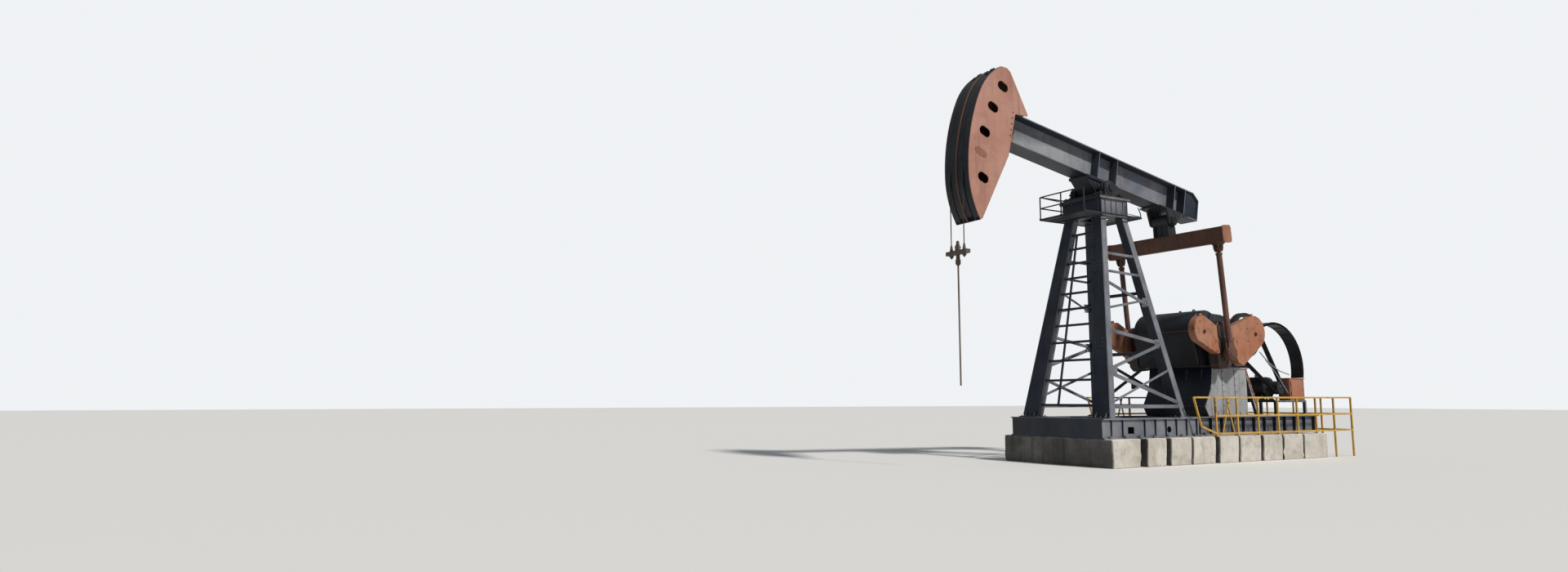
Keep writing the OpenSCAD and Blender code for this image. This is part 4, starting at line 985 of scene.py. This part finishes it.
def hoopParts(bm):
    at, half, r = hoop["at"], hoop["half"], hoop["radius"]
    across = Vector((0, half, 0))
    inside = Vector((0, half - 0.012, 0))
    rims = [(r - 0.05, r + 0.018, side * half, side * (half - 0.012)) for side in (-1, 1)]
    for low, high, y0, y1 in (*rims, (r, r + 0.014, -0.012, 0.012)):
        spinProfile(bm, [(low, y0), (high, y0), (high, y1), (low, y1)], at, 72,
                    hoop["to"] - hoop["from"], hoop["from"])
    for angle in spaced(*hoop["bars"]):
        way = aim(math.radians(angle))
        bar = at + way * (r - hoop["thick"])
        addBar(bm, bar - inside, bar + inside, 0.03, 0.024, way)
        for side in (-1, 1):
            addBolt(bm, at + way * (r - 0.02) + across * side, (0, side, 0), 0.011)


def hoopStays(bm):
    for route in hoop["stays"]:
        addTube(bm, bent(route, 0.12), 0.016, 10)


makePiece(hoopParts, "belt_guard.rims", "dark_metal", bevel=0.0015)
dressNode("belt_guard", 0.003)
makePiece(hoopStays, "belt_guard.stays", "pedestal_paint", bevel=0)

guardBox = {"x0": 6.95, "x1": 7.69, "y0": -1.04, "z0": cad["motorZ"] - 0.38,
            "z1": shaftShare(0.47)}


def guardBoxParts(bm):
    x0, x1, y0, z0, z1 = pick(guardBox, "x0 x1 y0 z0 z1")
    middle = (z0 + z1) / 2
    addBox(bm, (x0 + 0.05, y0 - 0.014, z0 + 0.06), (x1 - 0.05, y0, z1 - 0.06))
    addBox(bm, (x0 + 0.08, y0 - 0.022, z0 + 0.09), (x1 - 0.08, y0 - 0.01, z1 - 0.09))
    for z in (z0 + 0.16, z1 - 0.2):
        hinge = (x0 + 0.048, y0 - 0.024)
        addBox(bm, (x0 + 0.04, y0 - 0.026, z), (x0 + 0.1, y0 - 0.012, z + 0.08))
        addRod(bm, (*hinge, z - 0.01), (*hinge, z + 0.09), 0.009, 12)
    addBox(bm, (x1 - 0.13, y0 - 0.034, middle - 0.05), (x1 - 0.1, y0 - 0.02, middle + 0.05))
    addBox(bm, (x0 - 0.012, y0 - 0.02, z1 - 0.012), (x1 + 0.012, -0.668, z1 + 0.014))
    for z in spaced(3, z0 + 0.1, 0.05):
        addBox(bm, (x1, y0 + 0.06, z), (x1 + 0.014, -0.74, z + 0.022))
    boltRow(bm, (x0 + 0.03, y0 - 0.001, z0 + 0.03), (x1 - 0.03, y0 - 0.001, z0 + 0.03), 5,
            nearward, 0.009)


makePiece(guardBoxParts, "guard_box.door", "worn_orange")
dressNode("guard_box", 0.01, "worn_orange")

motor = {"radius": 0.32, "y0": -0.64, "y1": 0.36, "fins": 34, "fin": 0.028, "grille": 14}


def motorShape(bm):
    x, z, r = cad["motorX"], cad["motorZ"], motor["radius"]
    y0, y1 = motor["y0"], motor["y1"]
    spinProfile(bm, [(0.0, y0 - 0.12), (0.045, y0 - 0.12), (0.045, y0 - 0.03), (0.12, y0 - 0.02),
                     (0.15, y0 + 0.02), (0.27, y0 + 0.03), (r - 0.015, y0 + 0.06),
                     (r - 0.015, y0 + 0.1), (r - 0.03, y0 + 0.11), (r - 0.03, y1 - 0.22),
                     (r - 0.004, y1 - 0.21), (r - 0.004, y1 - 0.04), (r - 0.04, y1),
                     (0.0, y1)], (x, 0, z), 56)
    for k in range(motor["fins"]):
        way = aim(2 * math.pi * k / motor["fins"])
        if way.z >= -0.75:
            at = Vector((x, 0, z)) + way * (r - 0.017)
            addBar(bm, at + Vector((0, y0 + 0.11, 0)), at + Vector((0, y1 - 0.23, 0)), 0.008,
                   motor["fin"], way)
    for k in range(motor["grille"]):
        way = aim(2 * math.pi * k / motor["grille"])
        at = Vector((x, y1, z))
        addBar(bm, at + way * 0.07, at + way * 0.25, 0.014, 0.01)
    boltRing(bm, (x, y0 + 0.035, z), nearward, 0.25, 8, 0.012)
    # feet, terminal box, its gland and the lifting eye
    low = z - r - 0.06
    for side in (-1, 1):
        middle = x + side * 0.16
        addBox(bm, (middle - 0.16, y0 + 0.1, low), (middle + 0.16, y1 - 0.1, low + 0.035))
        for y in (y0 + 0.14, y0 + 0.45, y1 - 0.14):
            addPrism(bm, [(x + side * u, v) for u, v in
                          ((0.3, low + 0.03), (0.12, low + 0.03), (0.2, z - 0.18),
                           (0.26, z - 0.18))], y - 0.012, y + 0.012)
        boltGrid(bm, (x + side * 0.28,), (y0 + 0.18, y1 - 0.18), (low + 0.035,), upward, 0.016)
    addBox(bm, (x + 0.24, y0 + 0.31, z - 0.13), (x + 0.44, y0 + 0.59, z + 0.13))
    addBox(bm, (x + 0.44, y0 + 0.3, z - 0.14), (x + 0.465, y0 + 0.6, z + 0.14))
    addRod(bm, (x + 0.34, y0 + 0.45, z - 0.2), (x + 0.34, y0 + 0.45, z - 0.12), 0.03, 16)
    addEye(bm, (x, y0 + 0.455, z + r + 0.03), 0.028, 0.05, 0.015)


# slide rails by y and rear end, then the feet of the frame
motorFrame = {"x": 6.2, "y": -1.08, "rails": ((-0.5, 6.93), (0.2, 7.05)), "feet": (6.2, 7.65)}


def motorFrameParts(bm):
    top, low = guardBox["z0"], cad["skidTop"]
    x, near = motorFrame["x"], motorFrame["y"]
    for y, end in motorFrame["rails"]:
        addBox(bm, (x, y - 0.05, top), (end, y + 0.05, top + 0.001))
        addRod(bm, (x - 0.02, y, top + 0.02), (x + 0.14, y, top + 0.02), 0.014, 12)
        addBolt(bm, (x, y, top + 0.02), forward, 0.02)
        addBox(bm, (x - 0.01, y - 0.03, top), (x + 0.01, y + 0.03, top + 0.05))
    boltRow(bm, (x + 0.1, near, top - 0.03), (x + 1.4, near, top - 0.03), 6, nearward, 0.014)
    for x in motorFrame["feet"]:
        addBox(bm, (x - 0.08, -1.09, low), (x + 0.08, -0.94, low + 0.016))
        boltGrid(bm, (x - 0.06, x + 0.06), (-1.06,), (low + 0.016,), upward, 0.014)


makePiece(motorShape, "motor.finned", "dark_metal", instead=True)
makePiece(motorFrameParts, "motor_frame.fittings", "tower_paint", front=paintedShade)
dressNode("motor_frame", 0.006, front=paintedShade)
print("pedestal, reducer and drive are made")

# guard rails
guard = {"y": -1.8, "size": 0.045, "front": 2.33, "rear": 8.8, "top": 1.75, "low": 0.7,
         "bays": 7, "onGround": 7.2, "braces": ((2.62, 2.95), (3.1, 2.86))}   # by foot and top


def railParts(bm):
    s, y, low, top = guard["size"], guard["y"], guard["low"], guard["top"]
    for i in range(guard["bays"] + 1):
        x = along(guard["front"], guard["rear"] - s, i / guard["bays"])
        if x < guard["onGround"]:
            addBox(bm, (x - 0.04, y - 0.01, low), (x + s + 0.04, y + s + 0.06, low + 0.01))
            boltGrid(bm, (x - 0.02, x + s + 0.02), (y + 0.09,), (low + 0.01,), upward, 0.01)
        for z in (low + 0.52, top - s):
            addBox(bm, (x - 0.012, y - 0.004, z - 0.01),
                   (min(x + s + 0.012, guard["rear"]), y + s + 0.004, z - 0.004))
    for x0, x1 in guard["braces"]:
        addBar(bm, (x0, y + s / 2, low + 0.1), (x1, y + s / 2, top - 0.03), 0.03, 0.03)


for side, flip in sides:
    dressNode("guard_rail_" + side, 0.004, add=railParts, flip=flip)
dressNode("guard_rail_rear", 0.004)
print("guard rails are made")

# walking beam, level and with its bearing at the origin
beam = {"front": -3.52, "back": 4.13, "low": 0.324, "high": 1.076, "top": 1.11, "half": 0.28,
        "web": 0.012, "stiffeners": (-0.15, 0.58, 3.04, 3.5), "plate": 0.024,
        "slopeLong": 0.26, "slopeHigh": 0.18, "saddleBolts": (-0.5, -0.36, 0.36, 0.5),
        "tailBolts": (2.5, 2.66, 3.32, 3.5), "eyes": (-2.1, 1.55)}


def beamParts(bm):
    low, high, web, edge = beam["low"], beam["high"], -beam["web"], -beam["half"] + 0.01
    # a bead of weld round each side of the stiffeners, and along the flanges
    for x in beam["stiffeners"]:
        for at in (x - 0.004, x + beam["plate"] + 0.004):
            for y, z0, z1 in ((web, low, high), (edge, low, low), (edge, high, high)):
                addRod(bm, (at, y, z0), (at, web, z1), 0.007, 8)
    for z in (low, high):
        addRod(bm, (beam["front"] + 0.01, web, z), (beam["back"] - 0.4, web, z), 0.009, 8)
    # joint plate at the head with its bolts
    addBox(bm, (-3.53, -0.032, low + 0.05), (-3.19, web, high - 0.05))
    for x in (-3.47, -3.36, -3.25):
        boltRow(bm, (x, -0.032, low + 0.12), (x, -0.032, high - 0.12), 6, nearward, 0.014)
    mirrorAcross(bm)
    boltGrid(bm, beam["saddleBolts"] + beam["tailBolts"], (-0.23, -0.12, 0.12, 0.23), (low,),
             upward, 0.017)
    for x in beam["eyes"]:
        addBox(bm, (x - 0.06, web, beam["top"]), (x + 0.06, -web, beam["top"] + 0.07))
        addEye(bm, (x, 0, beam["top"] + 0.075), 0.025, 0.05)


def tailSides(bm):
    # side plates that close the tail under its slope, dark all over with painted shade
    low, high, side = beam["low"], beam["high"], -beam["half"] + 0.05
    end = beam["back"] - beam["plate"]
    front = beam["stiffeners"][-1] + beam["plate"]
    start = beam["back"] - beam["slopeLong"]
    inner = beam["top"] - 1.2 * (beam["top"] - high)
    drop = beam["slopeHigh"] * (end - start) / beam["slopeLong"]
    addPrism(bm, [(front, low), (end, low), (end, inner - drop), (start, inner), (front, high)],
             side, side + 0.012)
    boltRow(bm, (front + 0.05, side, low + 0.06), (end - 0.05, side, low + 0.06), 5, nearward,
            0.012)
    boltRow(bm, (front + 0.05, side, low + 0.2), (front + 0.05, side, high - 0.06), 4, nearward,
            0.012)
    mirrorAcross(bm)


def saddleParts(bm):
    boltGrid(bm, beam["saddleBolts"], (-0.26, -0.16, 0.16, 0.26), (0.24,), downward, 0.018)
    for y, y0 in ((-0.3, -0.335), (0.3, 0.3)):
        for x0, x1 in ((-0.42, -0.13), (0.42, 0.13), (-0.2, -0.06), (0.2, 0.06)):
            addBar(bm, (x0, y, 0.22), (x1, y, -0.08), 0.02, 0.03)
        addBox(bm, (-0.6, y0, 0.215), (0.6, y0 + 0.035, 0.29))
    for s in (-1, 1):
        spinProfile(bm, [(0.0, s * 0.688), (0.084, s * 0.688), (0.09, s * 0.66), (0.0, s * 0.66)],
                    (0, 0, 0), 32)
        spinProfile(bm, [(0.0901, s * 0.31), (0.13, s * 0.31), (0.13, s * 0.37),
                         (0.0901, s * 0.37)], (0, 0, 0), 40)
        boltRing(bm, (0, s * 0.688, 0), (0, s, 0), 0.05, 3, 0.01)


tail = {"x": 2.99, "bolts": (-0.5, -0.32, 0.32, 0.5)}


def tailParts(bm):
    x = tail["x"]
    for s in (-1, 1):
        boltGrid(bm, [x + at for at in tail["bolts"]], (s * 0.3, s * 0.1), (0.25,), downward,
                 0.018)
        spinProfile(bm, [(0.0, s * 0.4), (0.12, s * 0.4), (0.12, s * 0.362), (0.0, s * 0.362)],
                    (x, 0, 0), 36)
        boltRing(bm, (x, s * 0.398, 0), (0, s, 0), 0.09, 6, 0.011)
        for u, v in ((-0.26, -0.1), (0.26, 0.1)):
            addBar(bm, (x + u, s * 0.33, 0.22), (x + v, s * 0.33, -0.06), 0.02, 0.07)


makePiece(tailSides, "walking_beam.tail_sides", paintedShade, move=onBeam)
makePiece(beamParts, "walking_beam.fittings", "tower_paint", 0.0015, paintedShade, onBeam)
dressNode("walking_beam", 0.005, front=paintedShade)
makePiece(saddleParts, "saddle_bracket.fittings", "dark_metal", move=onBeam)
dressNode("saddle_bracket", 0.008)
makePiece(tailParts, "tail_bracket.fittings", "dark_metal", move=onBeam)
dressNode("tail_bracket", 0.006)

# horsehead: angles in degrees up from the front, holes by depth and angle
head = {"radius": 4.89, "upper": 13.5, "lower": -11.5, "upRadius": 1.77, "lowRadius": 2.4,
        "up": 49, "half": 0.46, "back": -3.52, "lean": math.radians(-14),
        "holes": ((0.574, 21.2), (0.53, 12.0), (0.452, 2.3), (0.464, -13.3)),
        "hole": (32, 0.06, 0.12, 0.12), "patch": (28, 0.04, 0.17, 0.10),
        "patchAt": (-4.48, -0.39)}
hang = {"x": -4.9053, "z": 5.35, "y": 0.24, "front": 0.0745}
rope = {"radius": 0.015, "slim": 0.011, "step": 0.022, "pitch": 0.15, "strands": 4, "sides": 16}


def toward(angle):
    a = math.radians(angle)
    return Vector((-math.cos(a), 0, math.sin(a)))


def faceArc(angle):
    # the radius of the face at an angle, and where that arc's middle lies
    if angle > head["upper"]:
        return head["upRadius"], toward(head["upper"]) * (head["radius"] - head["upRadius"])
    if angle < head["lower"]:
        return head["lowRadius"], toward(head["lower"]) * (head["radius"] - head["lowRadius"])
    return head["radius"], Vector()


def facePoint(angle, inside=0.0):
    r, middle = faceArc(angle)
    return middle + toward(angle) * (r - inside)


def faceRoute(angle, last, inside, step):
    # points along the face, about one step apart
    route = []
    while angle > last:
        route.append(facePoint(angle, inside))
        angle -= math.degrees(step / faceArc(angle)[0])
    return route + [facePoint(last, inside)]


def slotOutline(count, reach, wide, high):
    # two halves of an oval drawn apart, and leant with the head's holes
    points = []
    for k in range(count):
        a = 2 * math.pi * k / count
        u, v = wide * math.cos(a) + math.copysign(reach, math.cos(a)), high * math.sin(a)
        lean = aim(head["lean"])
        points.append((u * lean.x - v * lean.z, u * lean.z + v * lean.x))
    return points


def holeRims(bm):
    # a thin edge of bare, worn metal round each hole, and bolts at the joint with the beam
    for depth, angle in head["holes"]:
        at = toward(angle) * (head["radius"] - depth)
        ring = [at + Vector((u, 0.004 - head["half"], v)) for u, v in slotOutline(*head["hole"])]
        addTube(bm, ring, 0.006, 8, True)
    boltGrid(bm, (head["back"] - 0.07,), (-head["half"],), spaced(5, 0.36, 0.16), nearward, 0.016)
    mirrorAcross(bm)


def headPatch(bm):
    x, z = head["patchAt"]
    addPrism(bm, [(x + u, z + v) for u, v in slotOutline(*head["patch"])], -0.466, -0.455)


def addRope(bm, points, radius):
    # a lobed cross-section drawn along the route and turned at each step
    def frameAt(i):
        way = (points[min(len(points) - 1, i + 1)] - points[max(0, i - 1)]).normalized()
        side = Vector(farward)
        turn = Matrix((side, way.cross(side).normalized(), way)).transposed().to_4x4()
        turn.translation = points[i]
        return turn

    verts = bmesh.ops.create_circle(bm, cap_ends=True, segments=rope["sides"], radius=1)["verts"]
    for vert in verts:
        a = math.atan2(vert.co.y, vert.co.x)
        vert.co *= radius * (0.87 + 0.13 * math.cos(rope["strands"] * a))
    bmesh.ops.transform(bm, matrix=frameAt(0), verts=verts)
    edges = list(verts[0].link_faces[0].edges)
    for i in range(1, len(points)):
        extruded = bmesh.ops.extrude_edge_only(bm, edges=edges)["geom"]
        verts = vertsOf(extruded)
        edges = [item for item in extruded if isinstance(item, bmesh.types.BMEdge)
                 and item.verts[0] in verts and item.verts[1] in verts]
        step = (points[i] - points[i - 1]).length
        twist = Matrix.Rotation(2 * math.pi * step / rope["pitch"], 4, "Z")
        bmesh.ops.transform(bm, matrix=frameAt(i) @ twist @ frameAt(i - 1).inverted(), verts=verts)
    bmesh.ops.edgeloop_fill(bm, edges=edges)


def headRopes(bm):
    route = faceRoute(head["up"] - 0.3, -cad["tilt"] - 1.5, rope["radius"], rope["step"])
    for y in (-hang["y"], hang["y"]):
        addRope(bm, [point + Vector((0, y, 0)) for point in route], rope["radius"])


def straightRopes(bm, low, high, radius):
    count = int((high - low) / rope["step"])
    for y in (-hang["y"], hang["y"]):
        addRope(bm, [Vector((hang["x"], y, along(low, high, k / count)))
                     for k in range(count + 1)], radius)


def ropeClamps(bm):
    # clamps that hold the ropes at the head's top
    for y, angle in itertools.product((-hang["y"], hang["y"]), (46.5, 40.0)):
        turn = place(facePoint(angle, -0.012) + Vector((0, y, 0)), angle - 90)
        addBox(bm, (-0.05, -0.05, -0.02), (0.05, 0.05, 0.016), turn)
        for u, v in ((-0.03, -0.034), (0.03, -0.034), (-0.03, 0.034), (0.03, 0.034)):
            addBolt(bm, turn @ Vector((u, v, 0.016)), turn.to_3x3() @ Vector(upward), 0.009)


def headHook(bm):
    addTube(bm, bent([(-3.14, -0.2, 1.105), (-3.14, -0.2, 1.2), (-3.04, -0.2, 1.22),
                      (-3.03, -0.2, 1.16)], 0.04), 0.014, 10)


# a knot of old rope at the joint with the beam
knot = {"seed": 11, "count": 16, "x": -3.5, "y": -0.472, "z": 0.31, "wide": 0.05, "deep": 0.03,
        "high": 0.07, "start": (-3.5, -0.47, 0.42), "end": (-3.53, -0.47, 0.2)}


def ropeKnot(bm):
    x, y, z, wide, deep, high = pick(knot, "x y z wide deep high")
    random.seed(knot["seed"])
    points = [(x + random.uniform(-wide, wide), y - random.uniform(0, deep),
               z + random.uniform(-high, high)) for k in range(knot["count"])]
    addTube(bm, bent([knot["start"], *points, knot["end"]], 0.015, 3), 0.011, 8)


makePiece(holeRims, "head_plates.rims", "rusty_salmon", 0, move=onBeam)
dressNode("head_plates", 0.005)
makePiece(headPatch, "head_plates.patch", "rusty_salmon", move=onBeam)
for node, bevel in (("head_frame", 0.004), ("head_face", 0.006), ("head_rib", 0.004)):
    dressNode(node, bevel)
makePiece(headRopes, "head_wires.ropes", "wire_rope", 0, move=onBeam, instead=True)
for name, low, high, radius in (
        ("upper_wires", hang["z"] + 0.05, cad["saddle"], rope["slim"]),
        ("hanger_wires", hang["z"] + 0.04, cad["saddle"] - 0.02, rope["radius"])):
    makePiece(lambda bm: straightRopes(bm, low, high, radius), name + ".ropes", "wire_rope", 0,
              instead=True)
makePiece(ropeClamps, "head_face.clamps", "dark_metal", move=onBeam)
makePiece(headHook, "head_plates.hook", "dark_metal", 0, move=onBeam)
makePiece(ropeKnot, "head_plates.knot", "old_rope", 0, move=onBeam)
print("beam and horsehead are made")

# equalizer and pitmans, hung from the tail bearing at the origin
equal = {"y": 1.98, "half": 0.15, "top": -0.44, "low": -0.88, "web": 0.016, "flange": 0.024}


def equalizerBlock(bm):
    spinProfile(bm, [(0.0751, -0.26), (0.185, -0.26), (0.185, 0.26), (0.0751, 0.26)], (0, 0, 0),
                56)
    for s in (-1, 1):
        spinProfile(bm, [(0.0751, s * 0.26), (0.15, s * 0.26), (0.14, s * 0.28),
                         (0.0751, s * 0.285)], (0, 0, 0), 48)
        addPrism(bm, [(-0.17, -0.44), (0.17, -0.44), (0.15, -0.02), (-0.15, -0.02)], s * 0.26,
                 s * 0.2)
        y0, y1 = sorted((s * 0.2, s * 0.01))
        for x in (-0.1, 0.1):
            addBox(bm, (x - 0.012, y0, -0.44), (x + 0.012, y1, -0.1))
    addBox(bm, (-0.17, -0.26, -0.46), (0.17, 0.26, -0.44))
    boltGrid(bm, (-0.145, 0.145), (-0.2, -0.08, 0.08, 0.2), (-0.46,), downward, 0.016)


def equalizerBeam(bm):
    end, half, top, low, web, flange = pick(equal, "y half top low web flange")
    for z in (low, top - flange):
        addBox(bm, (-half, -end + 0.03, z), (half, end - 0.03, z + flange))
    for x in (-half + 0.012, half - 0.012 - web):
        addBox(bm, (x, -end + 0.04, low + 0.01), (x + web, end - 0.04, top - 0.01))
    for s in (-1, 1):
        y0, y1 = sorted((s * 1.93, s * 1.95))
        addBox(bm, (-half, y0, low), (half, y1, top))
        for y, x in itertools.product((0.5, 0.95, 1.42, 1.9), (-half, half - 0.011)):
            addBox(bm, (x, s * y - 0.008, low + 0.02), (x + 0.011, s * y + 0.008, top - 0.02))


def equalizerEnds(bm):
    # rounded plates that close the beam's ends
    outline = [(x + 0.085 * math.cos(a), z + 0.085 * math.sin(a)) for x, z, first in
               ((0.1, -0.5, 0), (-0.1, -0.5, 90), (-0.1, -0.82, 180), (0.1, -0.82, 270))
               for a in (math.radians(first + 15 * k) for k in range(7))]
    for s in (-1, 1):
        addPrism(bm, outline, *sorted((s * 1.945, s * equal["y"])))


makePiece(equalizerBeam, "equalizer.beam", "rusty_paint", 0.006, move=onTail, instead=True)
makePiece(equalizerBlock, "equalizer.block", "dark_metal", 0.006, move=onTail, instead=True)
makePiece(equalizerEnds, "equalizer.ends", "rust_bright", 0.004, move=onTail)

pit = {"radius": 0.075, "bearing": 0.2, "half": 0.1, "length": 3.93, "bore": 0.0651}


def pitmanShape(bm):
    radius, r, half, length, bore = pick(pit, "radius bearing half length bore")
    y, low, top = -cad["pitmanY"], -length, equal["low"]
    addRod(bm, (0, y, top - 0.28), (0, y, low + 0.3), radius, 40)
    # fork and pin under the equalizer
    for s in (-1, 1):
        addPrism(bm, [(u, top - v) for u, v in ((-0.12, 0), (0.12, 0), (0.1, 0.16), (0.05, 0.24),
                                                (-0.05, 0.24), (-0.1, 0.16))],
                 y + s * 0.055, y + s * 0.085)
    addBox(bm, (-0.14, y - 0.12, top - 0.025), (0.14, y + 0.12, top))
    boltGrid(bm, (-0.11, 0.11), (y - 0.095, y + 0.095), (top - 0.025,), downward, 0.013)
    addRod(bm, (0, y - 0.11, top - 0.13), (0, y + 0.11, top - 0.13), 0.045, 28)
    addRod(bm, (0, y, top - 0.3), (0, y, top - 0.1), radius * 0.7, 32)
    for z in (top - 0.3, low + 0.34):
        addRod(bm, (0, y, z - 0.035), (0, y, z + 0.035), radius + 0.014, 40)
    # bearing housing with its flange, cover and bolts, closed to the outside
    spinProfile(bm, [(0.0, -half), (r * 0.62, -half), (r * 0.66, -0.082), (r * 0.94, -0.08),
                     (r, -0.065), (r, 0.065), (r * 0.94, 0.08), (r * 0.66, half), (bore, half),
                     (bore, -0.04), (0.0, -0.04)], (0, y, low), 64)
    boltRing(bm, (0, y - 0.08, low), nearward, r * 0.8, 8, 0.013, 0.3)
    boltRing(bm, (0, y - half, low), nearward, r * 0.36, 4, 0.010)
    # strap plates from the tube down to the housing
    addPrism(bm, [(-0.13, low + 0.16), (0.13, low + 0.16), (0.085, low + 0.36),
                  (-0.085, low + 0.36)], y - 0.065, y + 0.065)
    for x in (-0.15, 0.15):
        addRod(bm, (x, y, low + 0.12), (x, y, low + 0.26), 0.024, 16)
        addBolt(bm, (x, y, low + 0.26), upward)


for side, flip in sides:
    makePiece(pitmanShape, "pitman_" + side + ".dressed", "rusty_paint", 0.003, move=onTail,
              instead=True, flip=flip)

# cranks and counterweights, hung straight down from the shaft at the origin
crank = {"y": -1.49, "half": 0.3, "low": -1.02, "pin": 0.6, "holes": (-0.36, -0.84),
         "bolts": ((-0.19, 0.19), (-0.2, -0.95))}
# each weight by its place, its radius and the way it looks along x
weights = {"y": -1.55, "lobes": ((-0.87, 0.1, 0.4, -1), (1.39, -0.1, 0.465, 1)),
           "bolts": ((-0.36, 0.12), (-0.38, -0.22), (0.14, 0.24)),
           "clamps": ((-0.36, 0.36), (-0.22, -0.52))}


def crankParts(bm):
    y, half = crank["y"], crank["half"]
    # raised rails down both edges, pin holes with bushes, and the hub
    for x in (-half + 0.03, half - 0.03):
        addBar(bm, (x, y - 0.008, -0.05), (x, y - 0.008, crank["low"] + 0.14), 0.05, 0.02)
    for z in crank["holes"]:
        spinProfile(bm, [(0.055, 0), (0.095, 0), (0.09, -0.016), (0.06, -0.018), (0.055, 0.03)],
                    (0, y, z), 36)
        addRod(bm, (0, y - 0.003, z), (0, y + 0.02, z), 0.055, 30)
    spinProfile(bm, [(0.0, -0.012), (0.15, -0.012), (0.152, 0), (0.235, 0), (0.23, -0.03),
                     (0.16, -0.034), (0.145, -0.02), (0.0, -0.024)], (0, y, 0), 56)
    addBox(bm, (-0.03, y - 0.03, 0.13), (0.03, y - 0.005, 0.175))
    spinProfile(bm, [(0.066, 0), (0.115, 0), (0.11, -0.02), (0.066, -0.024)],
                (0, y, -crank["pin"]), 44)
    boltRing(bm, (0, y, 0), nearward, 0.26, 6, 0.014)
    xs, zs = crank["bolts"]
    boltGrid(bm, xs, (y,), zs, nearward, 0.018)


def weightParts(bm):
    y = weights["y"]
    for x, z, r, s in weights["lobes"]:
        spinProfile(bm, [(0.06, 0), (0.085, 0), (0.08, -0.012), (0.062, -0.014)],
                    (x, y, z - 0.13 * r), 32)
        for u, v in weights["bolts"]:
            addBolt(bm, (x + s * u, y, z + v), nearward, 0.017)
        addBox(bm, (x - 0.05, y + 0.05, z + r - 0.02), (x + 0.05, y + 0.08, z + r + 0.06))
    # clamps that hold the weights to the crank
    for x, z in itertools.product(*weights["clamps"]):
        addBox(bm, (x - 0.09, y - 0.014, z - 0.05), (x + 0.05, y + 0.002, z + 0.05))
        addBolt(bm, (x - 0.02, y - 0.014, z), nearward, 0.02)


for side, flip in sides:
    for name, parts, slot, bevel in (("crank_", crankParts, "rust_black", 0.012),
                                     ("weights_", weightParts, "worn_orange", 0.016)):
        makePiece(parts, name + side + ".fittings", slot, move=onCrank, flip=flip)
        dressNode(name + side, bevel, slot)
dressNode("crank_shaft", 0.004)
print("equalizer, pitmans and cranks are made")


# carrier bar and polished rod
def carrierParts(bm):
    x, z, y, front = pick(hang, "x z y front")
    for s in (-1, 1):
        addRod(bm, (x, s * y, z + 0.04), (x, s * y, z + 0.17), 0.042, 24, 0.022)
        addRod(bm, (x, s * y, z - 0.14), (x, s * y, z - 0.09), 0.05, 24)
        addBolt(bm, (x, s * y, z - 0.14), downward, 0.026)
        addBox(bm, (x - front, s * 0.14 - 0.01, z - 0.085),
               (x + 0.078, s * 0.14 + 0.01, z + 0.005))
        addBolt(bm, (x, s * 0.34, z), upward, 0.015)
    for low, high, r in ((0.13, 0.16, 0.055), (0.16, 0.24, 0.04), (-0.36, -0.33, 0.05)):
        addRod(bm, (x, 0, z + low), (x, 0, z + high), r, 24)
    for v in (z + 0.035, z + 0.095):
        addBox(bm, (x - front, -0.035, v - 0.02), (x - 0.05, 0.035, v + 0.02))
        boltGrid(bm, (x + 0.06,), (-0.035, 0.035), (v,), rearward, 0.011)
    for coil in spaced(6, z - 0.215, 0.02):
        addRod(bm, (x, 0, coil), (x, 0, coil + 0.008), 0.052, 24)


makePiece(carrierParts, "carrier_bar.fittings", "clamp_metal")
dressNode("carrier_bar", 0.005, "clamp_metal")
dressNode("polished_rod", 0.003)
print("carrier bar and rod are made")
